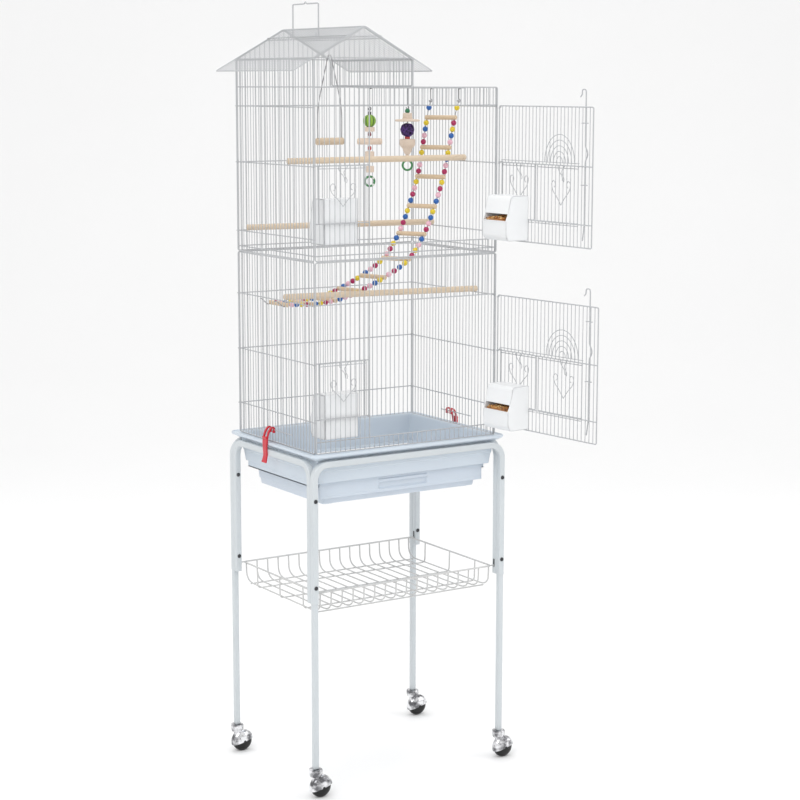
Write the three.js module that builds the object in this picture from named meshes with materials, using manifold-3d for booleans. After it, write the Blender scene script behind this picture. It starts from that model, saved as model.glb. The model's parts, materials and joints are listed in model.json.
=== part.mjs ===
// A wire bird cage on a four-legged stand: millimetres, +Z up.
// The cage stands in a plastic base tub, and the tub's rim rests on four bent tubes.
// Everything is first laid out about the cage's own centre line with the floor at z = 0,
// and the whole group is then moved so that its origin is under the middle of its box.
import * as THREE from 'three';
import { mergeVertices } from 'three/addons/utils/BufferGeometryUtils.js';
import Module from 'manifold-3d';

const wasm = await Module();
wasm.setup();

// ---------------------------------------------------------------- driving dimensions
const CLEARANCE = 0.3; // gap between two pieces that touch
const RUNNING = 0.6; // gap on each side of a piece that slides or turns

const CAGE_WIDTH = 433.2; // outside of the wire walls, along X
const CAGE_DEPTH = 319.2; // outside of the wire walls, along Y
const CAGE_BOTTOM = 703; // height of the lowest cage rail
const LOWER_HEIGHT = 381; // lower section of the cage
const UPPER_HEIGHT = 337.7; // upper section, up to the flat top
const TOWER_WIDTH = 228; // the gabled part of the roof, at the left
const TOWER_RISE = 55; // tower wall above the flat top
const ROOF_RISE = 86; // ridge above the eaves
const ROOF_OVERHANG = 46; // eaves beyond the tower's walls
const HANDLE_HEIGHT = 62;
const HANDLE_WIDTH = 101;
const HANDLE_WIRE = 4;
const HANDLE_OFFSET = 39.5; // from the ridge, towards the left

const BAR_PITCH = 11.4; // upright wires, centre to centre
const STRUCTURAL_EVERY = 2; // the walls' plates carry every second upright wire
const WIRE = 1.8;
const RAIL = 2.2; // horizontal rails on the inside of the wires
const POST = 3.6; // frame at the edges of a wall
const LOWER_RAILS = [63, 178, 294]; // above the lower section's bottom
const UPPER_RAILS = [43, 184, 298]; // above the upper section's bottom

const STRIP_WIDTH = 128; // fixed strip of the front, left of the doorways
const DOOR_HEIGHT = 273;
const DOOR_DROP = 37; // top of the upper door below the flat top
const LOWER_DOOR_DROP = 85; // top of the lower door below the section's top
const DOOR_RAILS = [44, 160]; // rails above a door's bottom
const DOOR_STAND_OFF = 4.4; // hinge line in front of the front wall's face
const DOOR_OPEN = { upper: 91, lower: 95 }; // degrees, as it stands at rest
const FEEDER_HATCH = 104; // width of a feeder's own small door
const NEST_HATCH = 126; // width of the middle small door
const LATCH_WIRE = 3;
const LATCH_INSET = 31; // latch rod from a door's free edge
const LATCH_HOOK = { rise: 34, back: 9, down: 14, tail: 14 }; // rise and tail from the door's ends

const FEEDER = { width: 78, depth: 56, height: 90, wall: 2, lip: 40, mouth: 24 };

const RIM_MARGIN_X = 15.9; // base tub's rim beyond the cage's side walls
const RIM_MARGIN_Y = 17.9; // and beyond its front and back
const RIM_WIDTH = CAGE_WIDTH + 2 * RIM_MARGIN_X;
const RIM_DEPTH = CAGE_DEPTH + 2 * RIM_MARGIN_Y;
const RIM_HEIGHT = 14;
const TUB_WALL = 2.5;
const TUB_DROP = 62; // tub below the rim's top
const TUB_TAPER = 6;
const TRAY_HEIGHT = 34; // the drawer's upper step
const TRAY_FOOT = 13; // the drawer's lower step

const TUBE = 12.7; // square tube of the stand
const TUBE_WALL = 0.7;
const BEND = 35; // outer radius of the stand's bends
const LEG_SPREAD_X = RIM_WIDTH - 11.8; // leg centres, along X
const LEG_SPREAD_Y = RIM_DEPTH - 19.2; // outer leg centres, along Y
const FRAME_FOOT = 404; // lower end of the bent tubes
const LEG = 11; // lower leg, nested in the bent tube
const LEG_NEST = 46; // how far it goes up inside

const CASTER_HEIGHT = 62;
const WHEEL_RADIUS = 22;
const WHEEL_WIDTH = 20;
const WHEEL_SIDES = 20;
const AXLE = 5;
const TRAIL = 12; // wheel axle behind the swivel line
const COLLAR_RADIUS = 14;
const COLLAR_HEIGHT = 11;

const BASKET_RIM = 423;
const BASKET_DEPTH = 47;
const BASKET_RIB_PITCH = 25;
const BASKET_WIRE = 3;

const PERCH_RADIUS = 6.2;

// ---------------------------------------------------------------- materials
const finish = (color, roughness, metalness) => ({ color, roughness, metalness });
const ENAMEL = finish(0xeae8e2, 0.4, 0);
const TUB_PLASTIC = finish(0xd3dce4, 0.4, 0);
const TRAY_PLASTIC = finish(0xc4cfd8, 0.45, 0);
const CLEAR_PLASTIC = finish(0xeef0ee, 0.25, 0);
const RED_PLASTIC = finish(0xc81e28, 0.35, 0);
const BLACK_PLASTIC = finish(0x18181a, 0.3, 0);
const CHROME = finish(0xc9ccd0, 0.15, 1);
const WOOD = finish(0xd9b98c, 0.65, 0);
const BEADS = finish(0x4aa36a, 0.5, 0);
const STEEL_WIRE = finish(0xd8d8d4, 0.35, 0.4);

// ---------------------------------------------------------------- shape helpers
// A geometry as a manifold-3d solid, and back.
function solid(geometry) {
  const bare = geometry.clone();
  bare.deleteAttribute('normal');
  bare.deleteAttribute('uv');
  const merged = mergeVertices(bare, 1e-4);
  return new wasm.Manifold(
    new wasm.Mesh({
      numProp: 3,
      vertProperties: merged.attributes.position.array,
      triVerts: new Uint32Array(merged.index.array),
    }),
  );
}

function geometryOf(made) {
  const mesh = made.getMesh();
  const geometry = new THREE.BufferGeometry();
  geometry.setAttribute('position', new THREE.BufferAttribute(mesh.vertProperties, 3));
  geometry.setIndex(new THREE.BufferAttribute(mesh.triVerts, 1));
  geometry.computeVertexNormals();
  return geometry;
}

const joined = (geometries) =>
  geometryOf(geometries.map(solid).reduce((whole, piece) => whole.add(piece)));

const cut = (geometry, tools) =>
  geometryOf(tools.map(solid).reduce((whole, tool) => whole.subtract(tool), solid(geometry)));

// A box between two corners.
function box(low, high) {
  const size = high.map((value, i) => value - low[i]);
  const centre = high.map((value, i) => (value + low[i]) / 2);
  return new THREE.BoxGeometry(...size).translate(...centre);
}

const rectangle = (u0, v0, u1, v1) => [[u0, v0], [u1, v0], [u1, v1], [u0, v1]];

const vectors = (points) => points.map(([u, v]) => new THREE.Vector2(u, v));

// A flat plate from an outline, in the XY plane from z = 0 to its thickness.
const plate = (outline, thickness) => new THREE.ExtrudeGeometry(
  new THREE.Shape(vectors(outline)), { depth: thickness, bevelEnabled: false },
);

// A plate with holes cut right through it.
function sheet(outline, holes, thickness) {
  const drills = holes.map((hole) => plate(hole, thickness + 2).translate(0, 0, -1));
  return cut(plate(outline, thickness), drills);
}

// A rod or tube of a given section along a path.
function alongPath(points, radius, sides, steps) {
  const section = new THREE.Shape();
  for (let i = 0; i < sides; i++) {
    const angle = ((i + 0.5) / sides) * 2 * Math.PI;
    const corner = [radius * Math.cos(angle), radius * Math.sin(angle)];
    if (i === 0) section.moveTo(...corner);
    else section.lineTo(...corner);
  }
  section.closePath();
  const path = new THREE.CatmullRomCurve3(
    points.map((point) => new THREE.Vector3(...point)), false, 'centripetal',
  );
  return new THREE.ExtrudeGeometry(section, { steps, extrudePath: path, bevelEnabled: false });
}

// A rod between two points.
function rod(from, to, radius, sides = 8) {
  const start = new THREE.Vector3(...from);
  const end = new THREE.Vector3(...to);
  const along = end.clone().sub(start);
  const geometry = new THREE.CylinderGeometry(radius, radius, along.length(), sides);
  const turn = new THREE.Quaternion().setFromUnitVectors(
    new THREE.Vector3(0, 1, 0), along.normalize(),
  );
  const middle = start.add(end).multiplyScalar(0.5);
  return geometry.applyQuaternion(turn).translate(middle.x, middle.y, middle.z);
}

const root = new THREE.Group();

function place(name, geometry, material, parent = root) {
  const mesh = new THREE.Mesh(geometry, new THREE.MeshStandardMaterial(material));
  mesh.name = name;
  parent.add(mesh);
  return mesh;
}

// ---------------------------------------------------------------- wire grilles
// The gaps between upright wires across a width, as [left, right] pairs.
function gapsAcross(width, edge, pitch = BAR_PITCH * STRUCTURAL_EVERY) {
  const count = Math.round(width / pitch);
  const step = width / count;
  return Array.from({ length: count }, (_, i) => [
    i === 0 ? edge : i * step + WIRE / 2,
    i === count - 1 ? width - edge : (i + 1) * step - WIRE / 2,
  ]);
}

// One hole for each gap, from a low edge up to the wall's own top.
const gapHoles = (gaps, low, topAt) => gaps.map(([left, right]) => [
  [left, low], [right, low], [right, topAt(right)], [left, topAt(left)],
]);

// Openings are [left, right, low, high]; each gets a frame as wide as a post.
const openingHole = ([left, right, low, high]) => rectangle(left, low, right, high);
const openingFrame = ([left, right, low, high]) =>
  rectangle(left - POST, low - POST, right + POST, high + POST);

// A plate of upright wires with framed openings, in the XY plane.
function grille(outline, holes, openings) {
  const wires = sheet(outline, holes, WIRE);
  if (!openings.length) return wires;
  const framed = joined([wires, ...openings.map((o) => plate(openingFrame(o), WIRE))]);
  const drills = openings.map((o) => plate(openingHole(o), WIRE + 2).translate(0, 0, -1));
  return cut(framed, drills);
}

// A wall in the XZ plane, its front face at y = 0 and its rails behind the wires.
// The rails touch only the posts at their two ends.
function wall({ outline, width, low, topAt, gaps, openings = [], railHeights = [] }) {
  const face = grille(outline, gapHoles(gaps, low, topAt), openings)
    .rotateX(Math.PI / 2).translate(0, WIRE, 0);
  if (!railHeights.length) return face;
  const depth = WIRE + CLEARANCE + RAIL;
  const bottom = railHeights[0] - RAIL;
  const top = railHeights[railHeights.length - 1] + RAIL;
  const posts = [0, width - POST].map((x) =>
    box([x, WIRE / 2, bottom], [x + POST, depth, top]));
  const rails = railHeights.map((height) => box(
    [POST / 2, WIRE + CLEARANCE, height - RAIL / 2],
    [width - POST / 2, depth, height + RAIL / 2],
  ));
  return joined([face, ...posts, ...rails]);
}

const WALL_DEPTH = WIRE + CLEARANCE + RAIL;
const SIDE_LENGTH = CAGE_DEPTH - 2 * (WALL_DEPTH + CLEARANCE);
const HALF_WIDTH = CAGE_WIDTH / 2;
const HALF_DEPTH = CAGE_DEPTH / 2;

// Puts a wall's local x = 0 at its start and turns it about Z, outer face outwards.
function standWall(name, geometry, corner, turn) {
  const mesh = place(name, geometry, ENAMEL);
  mesh.position.set(...corner);
  mesh.rotation.z = turn;
  return mesh;
}

// ---------------------------------------------------------------- cage sections
const UPPER_BOTTOM = CAGE_BOTTOM + LOWER_HEIGHT + CLEARANCE;
const FLAT_TOP = UPPER_BOTTOM + UPPER_HEIGHT;
const TOWER_RIGHT = TOWER_WIDTH - HALF_WIDTH; // X of the tower's right wall
const RIDGE_X = (TOWER_RIGHT - HALF_WIDTH) / 2;
const ROOF_REACH = TOWER_WIDTH / 2 + ROOF_OVERHANG; // ridge to eave, along X
const ROOF_SLOPE = Math.atan2(ROOF_RISE, ROOF_REACH);
const TOWER_TOP = FLAT_TOP + TOWER_RISE;
const ROOF_UNDERSIDE_AT_WALL = TOWER_TOP + CLEARANCE;
const RIDGE_Z = ROOF_UNDERSIDE_AT_WALL + (TOWER_WIDTH / 2) * Math.tan(ROOF_SLOPE);

const DOORWAY = [STRIP_WIDTH, CAGE_WIDTH - POST];
const STRIP_HATCH = [-1, 1].map((side) => (STRIP_WIDTH - POST + side * FEEDER_HATCH) / 2);

const UPPER_DOOR_TOP = FLAT_TOP - DOOR_DROP;
const LOWER_DOOR_TOP = CAGE_BOTTOM + LOWER_HEIGHT - LOWER_DOOR_DROP;

// The doorway and the feeder hatch in a front wall, from the door's own rails.
function frontOpenings(doorTop) {
  const bottom = doorTop - DOOR_HEIGHT;
  const [hatchLow, hatchHigh] = DOOR_RAILS;
  return [
    [...DOORWAY, bottom + POST, doorTop - POST],
    [...STRIP_HATCH, bottom + hatchLow + POST, bottom + hatchHigh - POST],
  ];
}

const shiftDown = (openings, by) =>
  openings.map(([left, right, low, high]) => [left, right, low - by, high - by]);

// Lower section: four plain walls, the front one with its doorway.
{
  const height = LOWER_HEIGHT;
  const plain = (width) => wall({
    outline: rectangle(0, 0, width, height),
    width,
    low: POST,
    topAt: () => height - POST,
    gaps: gapsAcross(width, POST),
    railHeights: LOWER_RAILS,
  });
  const front = wall({
    outline: rectangle(0, 0, CAGE_WIDTH, height),
    width: CAGE_WIDTH,
    low: POST,
    topAt: () => height - POST,
    gaps: gapsAcross(CAGE_WIDTH, POST),
    openings: shiftDown(frontOpenings(LOWER_DOOR_TOP), CAGE_BOTTOM),
  });
  const z = CAGE_BOTTOM;
  standWall('lower_front_wall', front, [-HALF_WIDTH, -HALF_DEPTH, z], 0);
  standWall('lower_back_wall', plain(CAGE_WIDTH), [HALF_WIDTH, HALF_DEPTH, z], Math.PI);
  standWall('lower_left_wall', plain(SIDE_LENGTH), [-HALF_WIDTH, SIDE_LENGTH / 2, z], -Math.PI / 2);
  standWall('lower_right_wall', plain(SIDE_LENGTH), [HALF_WIDTH, -SIDE_LENGTH / 2, z], Math.PI / 2);
}

// Upper section: the gable ends rise with the roof over the tower.
{
  const flat = UPPER_HEIGHT;
  const towerTop = TOWER_TOP - UPPER_BOTTOM;
  const gableTop = RIDGE_Z - UPPER_BOTTOM;
  // Height of the wall's top at a distance from its left end, seen from the front.
  const gableAt = (x) => gableTop
    - Math.abs(x - TOWER_WIDTH / 2) * Math.tan(ROOF_SLOPE) - CLEARANCE;
  const fromBack = (x) => CAGE_WIDTH - x;
  const roofline = (x) => (x <= TOWER_WIDTH ? gableAt(x) : flat);
  const outline = [
    [0, 0], [CAGE_WIDTH, 0], [CAGE_WIDTH, flat], [TOWER_WIDTH, flat],
    [TOWER_WIDTH, gableAt(TOWER_WIDTH)], [TOWER_WIDTH / 2, gableAt(TOWER_WIDTH / 2)],
    [0, gableAt(0)],
  ];
  const openTop = (x) => roofline(x) - POST;
  // The tower and the flat part have their own wires, with a post between them.
  const flatGaps = gapsAcross(CAGE_WIDTH - TOWER_WIDTH, POST);
  const gaps = gapsAcross(TOWER_WIDTH, POST)
    .concat(flatGaps.map((gap) => gap.map((x) => x + TOWER_WIDTH)));
  const front = wall({
    outline,
    width: CAGE_WIDTH,
    low: POST,
    topAt: openTop,
    gaps,
    openings: shiftDown(frontOpenings(UPPER_DOOR_TOP), UPPER_BOTTOM),
  });
  const back = wall({
    outline: outline.map(([x, z]) => [fromBack(x), z]).reverse(),
    width: CAGE_WIDTH,
    low: POST,
    topAt: (x) => openTop(fromBack(x)),
    gaps: gaps.map(([left, right]) => [fromBack(right), fromBack(left)]),
    railHeights: UPPER_RAILS,
  });
  const side = (height) => wall({
    outline: rectangle(0, 0, SIDE_LENGTH, height),
    width: SIDE_LENGTH,
    low: POST,
    topAt: () => height - POST,
    gaps: gapsAcross(SIDE_LENGTH, POST),
    railHeights: UPPER_RAILS,
  });
  const z = UPPER_BOTTOM;
  standWall('upper_front_wall', front, [-HALF_WIDTH, -HALF_DEPTH, z], 0);
  standWall('upper_back_wall', back, [HALF_WIDTH, HALF_DEPTH, z], Math.PI);
  standWall('upper_left_wall', side(towerTop), [-HALF_WIDTH, SIDE_LENGTH / 2, z], -Math.PI / 2);
  standWall('upper_right_wall', side(flat), [HALF_WIDTH, -SIDE_LENGTH / 2, z], Math.PI / 2);
}

// ---------------------------------------------------------------- roof
// The tower's right wall stands on the flat top's edge.
{
  const height = TOWER_RISE - CLEARANCE;
  const geometry = wall({
    outline: rectangle(0, 0, SIDE_LENGTH, height),
    width: SIDE_LENGTH,
    low: POST,
    topAt: () => height - POST,
    gaps: gapsAcross(SIDE_LENGTH, POST),
  });
  const z = FLAT_TOP + CLEARANCE;
  standWall('tower_right_wall', geometry, [TOWER_RIGHT, -SIDE_LENGTH / 2, z], Math.PI / 2);
}

// The flat top lies between the walls, just under their upper edge.
{
  const left = TOWER_RIGHT - POST;
  const width = HALF_WIDTH - WALL_DEPTH - CLEARANCE - left;
  const outline = rectangle(0, 0, width, SIDE_LENGTH);
  const holes = gapHoles(gapsAcross(width, POST), POST, () => SIDE_LENGTH - POST);
  const mesh = place('flat_top', sheet(outline, holes, WIRE), ENAMEL);
  mesh.position.set(left, -SIDE_LENGTH / 2, FLAT_TOP - WIRE);
}

// The two slopes of the tower's roof. The left one carries the ridge rail.
const SLOPE_LENGTH = ROOF_REACH / Math.cos(ROOF_SLOPE);
const RIDGE_GAP = WIRE * Math.tan(ROOF_SLOPE) + CLEARANCE; // both slopes meet here
function slope(withRidge) {
  const gaps = gapsAcross(CAGE_DEPTH, POST);
  const from = RIDGE_GAP;
  const holes = gapHoles(gaps, from + POST, () => SLOPE_LENGTH - POST);
  const outline = rectangle(0, from, CAGE_DEPTH, SLOPE_LENGTH);
  const pieces = [sheet(outline, holes, WIRE)];
  if (withRidge) {
    pieces.push(box([0, from - RIDGE_GAP / 2, WIRE / 2], [CAGE_DEPTH, from + RAIL, WIRE + RAIL]));
  }
  // Laid so that its length runs down from the ridge towards +X.
  return joined(pieces).rotateZ(-Math.PI / 2).translate(0, HALF_DEPTH, 0);
}
const roofRight = place('roof_right_slope', slope(false), ENAMEL);
roofRight.position.set(RIDGE_X, 0, RIDGE_Z);
roofRight.rotation.y = ROOF_SLOPE;
const roofLeftPivot = new THREE.Group();
roofLeftPivot.position.set(RIDGE_X, 0, RIDGE_Z);
roofLeftPivot.rotation.z = Math.PI;
root.add(roofLeftPivot);
const roofLeft = place('roof_left_slope', slope(true), ENAMEL, roofLeftPivot);
roofLeft.rotation.y = ROOF_SLOPE;

// The carry handle stands on the left slope, halfway up it.
const HANDLE_X = RIDGE_X - HANDLE_OFFSET;
const slopeTopAt = (x) => RIDGE_Z - Math.abs(x - RIDGE_X) * Math.tan(ROOF_SLOPE)
  + WIRE / Math.cos(ROOF_SLOPE);
const HANDLE_PIVOT_Z = slopeTopAt(HANDLE_X) + HANDLE_WIRE / 2 + 1 + RUNNING;
{
  const half = HANDLE_WIDTH / 2;
  const top = HANDLE_PIVOT_Z + HANDLE_HEIGHT;
  const corner = 12;
  const crown = 1.5; // the grip bows up in its middle
  const foot = HANDLE_PIVOT_Z;
  place('carry_handle', alongPath([
    [HANDLE_X, -half, foot], [HANDLE_X, -half, foot + HANDLE_HEIGHT / 2],
    [HANDLE_X, -half, top - corner], [HANDLE_X, -half + corner / 3, top - corner / 3],
    [HANDLE_X, -half + corner, top], [HANDLE_X, 0, top + crown], [HANDLE_X, half - corner, top],
    [HANDLE_X, half - corner / 3, top - corner / 3], [HANDLE_X, half, top - corner],
    [HANDLE_X, half, foot + HANDLE_HEIGHT / 2], [HANDLE_X, half, foot],
  ], HANDLE_WIRE / 2, 6, 20), ENAMEL);
}

// ---------------------------------------------------------------- feeders
// A hooded cup: depth runs away from the wall it hangs on, and its mouth looks inwards.
function feederGeometry() {
  const { width, depth, height, wall: thick, lip, mouth } = FEEDER;
  const outlineOf = (inset) => {
    const shape = new THREE.Shape();
    const hood = height - lip - mouth - inset; // the hood's rounded front
    const front = depth - inset;
    const chamfer = 6;
    shape.moveTo(inset, inset);
    shape.lineTo(front - chamfer, inset);
    shape.lineTo(front, inset + chamfer);
    shape.lineTo(front, lip + mouth);
    shape.quadraticCurveTo(front, lip + mouth + hood, front - hood, lip + mouth + hood);
    shape.lineTo(inset, lip + mouth + hood);
    shape.closePath();
    return shape;
  };
  const body = (inset) => {
    const long = width - 2 * inset;
    return new THREE.ExtrudeGeometry(outlineOf(inset), {
      depth: long, bevelEnabled: false, curveSegments: 5,
    }).translate(0, 0, -long / 2);
  };
  const cheek = 4; // left at each end of the mouth
  const opening = box(
    [depth / 2, lip, -width / 2 + cheek], [depth + 1, lip + mouth, width / 2 - cheek],
  );
  // Stood up: depth along +Y, height along Z, width along X.
  return cut(body(0), [body(thick), opening]).rotateX(Math.PI / 2).rotateZ(Math.PI / 2);
}

// Hung behind the front wall's fixed strip.
const STRIP_MIDDLE = -HALF_WIDTH + (STRIP_HATCH[0] + STRIP_HATCH[1]) / 2;
const FEEDER_STAND_OFF = 1;
for (const [name, doorTop] of [['upper', UPPER_DOOR_TOP], ['lower', LOWER_DOOR_TOP]]) {
  const feeder = place(`${name}_strip_feeder`, feederGeometry(), CLEAR_PLASTIC);
  feeder.position.set(
    STRIP_MIDDLE, -HALF_DEPTH + WALL_DEPTH + FEEDER_STAND_OFF, doorTop - DOOR_HEIGHT + POST,
  );
}

// ---------------------------------------------------------------- doors
// A small door that slides up in front of an opening: origin at its lower left corner.
function hatchGeometry(width, height) {
  const outline = rectangle(0, 0, width, height);
  const holes = gapHoles(gapsAcross(width, WIRE), WIRE, () => height - WIRE);
  return sheet(outline, holes, WIRE).rotateX(Math.PI / 2).translate(0, WIRE, 0);
}

const HATCH_LAP = 2.4; // how far a small door covers the frame of its opening
const HATCH_FRONT = WIRE + RUNNING; // its plane in front of the wall it slides on
const hatchHeight = DOOR_RAILS[1] - DOOR_RAILS[0] - 2 * POST + 2 * HATCH_LAP;

// Small doors of the fixed strip.
for (const [name, doorTop] of [['upper', UPPER_DOOR_TOP], ['lower', LOWER_DOOR_TOP]]) {
  const [left, right] = STRIP_HATCH;
  const hatch = place(
    `${name}_strip_hatch`, hatchGeometry(right - left + 2 * HATCH_LAP, hatchHeight), ENAMEL,
  );
  hatch.position.set(
    -HALF_WIDTH + left - HATCH_LAP,
    -HALF_DEPTH - HATCH_FRONT,
    doorTop - DOOR_HEIGHT + DOOR_RAILS[0] + POST - HATCH_LAP,
  );
}

// A big door. In its own frame it is shut: x runs from the hinge line towards the left,
// so the door lies at negative x, and its outer face looks towards -Y.
const HINGE_X = HALF_WIDTH - 2;
const HINGE_Y = -HALF_DEPTH - DOOR_STAND_OFF;
const DOOR_EDGE = 3; // hinge line to the door's own frame
const DOOR_LAP = 2.5; // how far the shut door covers the doorway's post
const DOOR_WIDTH = HINGE_X - DOOR_EDGE - (-HALF_WIDTH + DOORWAY[0] - DOOR_LAP);
const HATCH_MARGIN = 12;
const doorFeederHatch = [HATCH_MARGIN, HATCH_MARGIN + FEEDER_HATCH];
const nestFrom = doorFeederHatch[1] + BAR_PITCH;
const doorNestHatch = [nestFrom, nestFrom + NEST_HATCH];

// Distances along a door are counted from its hinge side, and turned into x here.
const fromHinge = (distance) => -DOOR_EDGE - distance;

function doorGeometry() {
  const [low, high] = DOOR_RAILS;
  const openings = [doorFeederHatch, doorNestHatch].map(([a, b]) =>
    [a, b, low + POST, high - POST]);
  const holes = gapHoles(gapsAcross(DOOR_WIDTH, POST), POST, () => DOOR_HEIGHT - POST);
  const outline = rectangle(0, 0, DOOR_WIDTH, DOOR_HEIGHT);
  const face = grille(outline, holes, openings)
    .rotateX(Math.PI / 2).translate(0, WIRE / 2, 0);
  // The door's frame is drawn from the hinge side, so it is turned round to lie at negative x.
  return face.rotateZ(Math.PI).translate(-DOOR_EDGE, 0, 0);
}

// A straight rod whose top is bent over into a hook.
function latchGeometry() {
  const top = DOOR_HEIGHT + LATCH_HOOK.rise;
  const { back, down, tail } = LATCH_HOOK;
  const r = LATCH_WIRE / 2;
  return joined([
    rod([0, 0, tail], [0, 0, top], r, 6),
    rod([r / 2, 0, top - r], [-back, 0, top - r], r, 6),
    rod([-back + r / 2, 0, top - r / 2], [-back, 0, top - down], r, 6),
  ]);
}

function bigDoor(name, top, openDegrees) {
  const group = new THREE.Group();
  group.position.set(HINGE_X, HINGE_Y, top - DOOR_HEIGHT);
  group.rotation.z = THREE.MathUtils.degToRad(openDegrees);
  root.add(group);
  place(`${name}_door`, doorGeometry(), ENAMEL, group);
  const hatchZ = DOOR_RAILS[0] + POST - HATCH_LAP;
  const outer = -WIRE / 2 - RUNNING;
  for (const [kind, [near, far]] of [['feeder', doorFeederHatch], ['nest', doorNestHatch]]) {
    const width = far - near + 2 * HATCH_LAP;
    const hatch = place(`${name}_door_${kind}_hatch`, hatchGeometry(width, hatchHeight),
      ENAMEL, group);
    hatch.position.set(fromHinge(far + HATCH_LAP), outer - WIRE, hatchZ);
  }
  const latch = place(`${name}_latch_rod`, latchGeometry(), ENAMEL, group);
  latch.position.set(
    fromHinge(DOOR_WIDTH - LATCH_INSET), outer - WIRE - RUNNING - LATCH_WIRE / 2, 0,
  );
  const feeder = place(`${name}_door_feeder`, feederGeometry(), CLEAR_PLASTIC, group);
  feeder.position.set(
    fromHinge((doorFeederHatch[0] + doorFeederHatch[1]) / 2),
    WIRE / 2 + FEEDER_STAND_OFF, POST + FEEDER_STAND_OFF,
  );
}
bigDoor('upper', UPPER_DOOR_TOP, DOOR_OPEN.upper);
bigDoor('lower', LOWER_DOOR_TOP, DOOR_OPEN.lower);

// ---------------------------------------------------------------- perches, swing and toys
const INNER_WIDTH = CAGE_WIDTH - 2 * (WIRE + CLEARANCE);
function perch(name, yLeft, yRight, railZ) {
  const lean = Math.atan2(yRight - yLeft, INNER_WIDTH);
  const length = (INNER_WIDTH - 2 * PERCH_RADIUS * Math.abs(Math.sin(lean))) / Math.cos(lean)
    - 2 * CLEARANCE;
  const geometry = new THREE.CylinderGeometry(PERCH_RADIUS, PERCH_RADIUS, length, 12)
    .rotateZ(Math.PI / 2);
  const mesh = place(name, geometry, WOOD);
  mesh.rotation.z = lean;
  mesh.position.set(0, (yLeft + yRight) / 2, railZ + RAIL / 2 + CLEARANCE + PERCH_RADIUS);
}
perch('upper_perch', -48, -48, UPPER_BOTTOM + UPPER_RAILS[1]);
perch('middle_perch', 124, 70, UPPER_BOTTOM + UPPER_RAILS[0]);
perch('lower_perch', -30, -94, CAGE_BOTTOM + LOWER_RAILS[2]);

// A swing hangs under the roof: bent wire with a wooden perch between its feet.
const SWING_Y = -26;
const SWING_TOP = TOWER_TOP + 7;
const SWING_DROP = 171;
const SWING_HALF = 29;
const SWING_WIRE = 1.1;
{
  const bottom = SWING_TOP - SWING_DROP;
  const at = (x, drop) => [RIDGE_X + x, SWING_Y, SWING_TOP - drop];
  const shoulder = SWING_HALF * 0.85;
  place('swing_wire', alongPath([
    at(-SWING_HALF, SWING_DROP - PERCH_RADIUS - 1), at(-SWING_HALF, 120), at(-shoulder, 88),
    at(-SWING_HALF / 2, 46), at(-4, 8), at(0, 0), at(4, 8), at(SWING_HALF / 2, 46),
    at(shoulder, 88), at(SWING_HALF, 120), at(SWING_HALF, SWING_DROP - PERCH_RADIUS - 1),
  ], SWING_WIRE, 4, 18), STEEL_WIRE);
  place('swing_perch', rod(
    [RIDGE_X - SWING_HALF - 3, SWING_Y, bottom], [RIDGE_X + SWING_HALF + 3, SWING_Y, bottom],
    PERCH_RADIUS - CLEARANCE, 10,
  ), WOOD);
}

// A toy is a stack of turned pieces on a wire: [radius, drop] pairs from the top down.
function toy(name, x, y, stack, material) {
  const thread = 1;
  const last = stack[stack.length - 1][1];
  const profile = [new THREE.Vector2(0, -last)];
  for (const [radius, drop] of [...stack].reverse()) {
    profile.push(new THREE.Vector2(Math.max(radius, thread), -drop));
  }
  profile.push(new THREE.Vector2(0, -stack[0][1]));
  const mesh = place(name, new THREE.LatheGeometry(profile, 8).rotateX(Math.PI / 2), material);
  mesh.position.set(x, y, FLAT_TOP - WIRE - CLEARANCE);
}
toy('ball_toy', TOWER_RIGHT + 9, 20, [
  [1, 0], [1, 44], [12, 56], [13, 64], [12, 72], [4, 84], [13, 88], [13, 98], [5, 100],
  [5, 112], [7, 124], [7, 134], [5, 136], [5, 160], [7, 164], [7, 174], [3, 178], [12, 186],
  [12, 196], [4, 204],
], BEADS);
toy('cone_toy', TOWER_RIGHT + 89, 0, [
  [1, 0], [1, 42], [6, 48], [8, 56], [15, 62], [15, 68], [13, 70], [14, 84], [13, 98],
  [5, 102], [6, 106], [17, 130], [16, 136], [4, 140], [12, 146], [13, 156], [4, 168],
], BEADS);

// The beaded ladder hangs from the flat top and comes to rest along the lower perch.
// Each rung is [x, y, height, turn]: turn is its direction, in degrees from +X.
const LADDER_RUNG = 62;
const LADDER_RUNG_RADIUS = 4.6;
const LADDER_CORD = 3.4;
const LADDER_RUNGS = [
  [188, -8, 1394, -52], [180, -6, 1358, -55], [170, -2, 1296, -60], [158, 0, 1235, -63],
  [138, 2, 1174, -64], [112, 2, 1117, -64], [70, -4, 1067, -65], [10, -8, 1033, -72],
  [-44, -4, 1008, -78], [-94, 8, 990, -82], [-140, 22, 984, -86], [-188, 36, 984, -88],
];
{
  const endOf = ([x, y, z, turn], side) => {
    const angle = THREE.MathUtils.degToRad(turn);
    const half = (LADDER_RUNG / 2) * side;
    return [x + half * Math.cos(angle), y + half * Math.sin(angle), z];
  };
  const rungs = LADDER_RUNGS.slice(1).map((rung) =>
    rod(endOf(rung, -1.14), endOf(rung, 1.14), LADDER_RUNG_RADIUS, 5));
  const cords = [-1, 1].map((side) =>
    alongPath(LADDER_RUNGS.map((rung) => endOf(rung, side)), LADDER_CORD, 4, 18));
  place('bead_ladder', joined([...cords, ...rungs]), BEADS);
}

// ---------------------------------------------------------------- base tub and drawer
const RIM_TOP = CAGE_BOTTOM + 1.5;
const TUB_BOTTOM = RIM_TOP - TUB_DROP;
const RIM_REACH = 19.5; // rim beyond the tub's wall
const TUB_HALF = [RIM_WIDTH / 2 - RIM_REACH, RIM_DEPTH / 2 - RIM_REACH];

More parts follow.
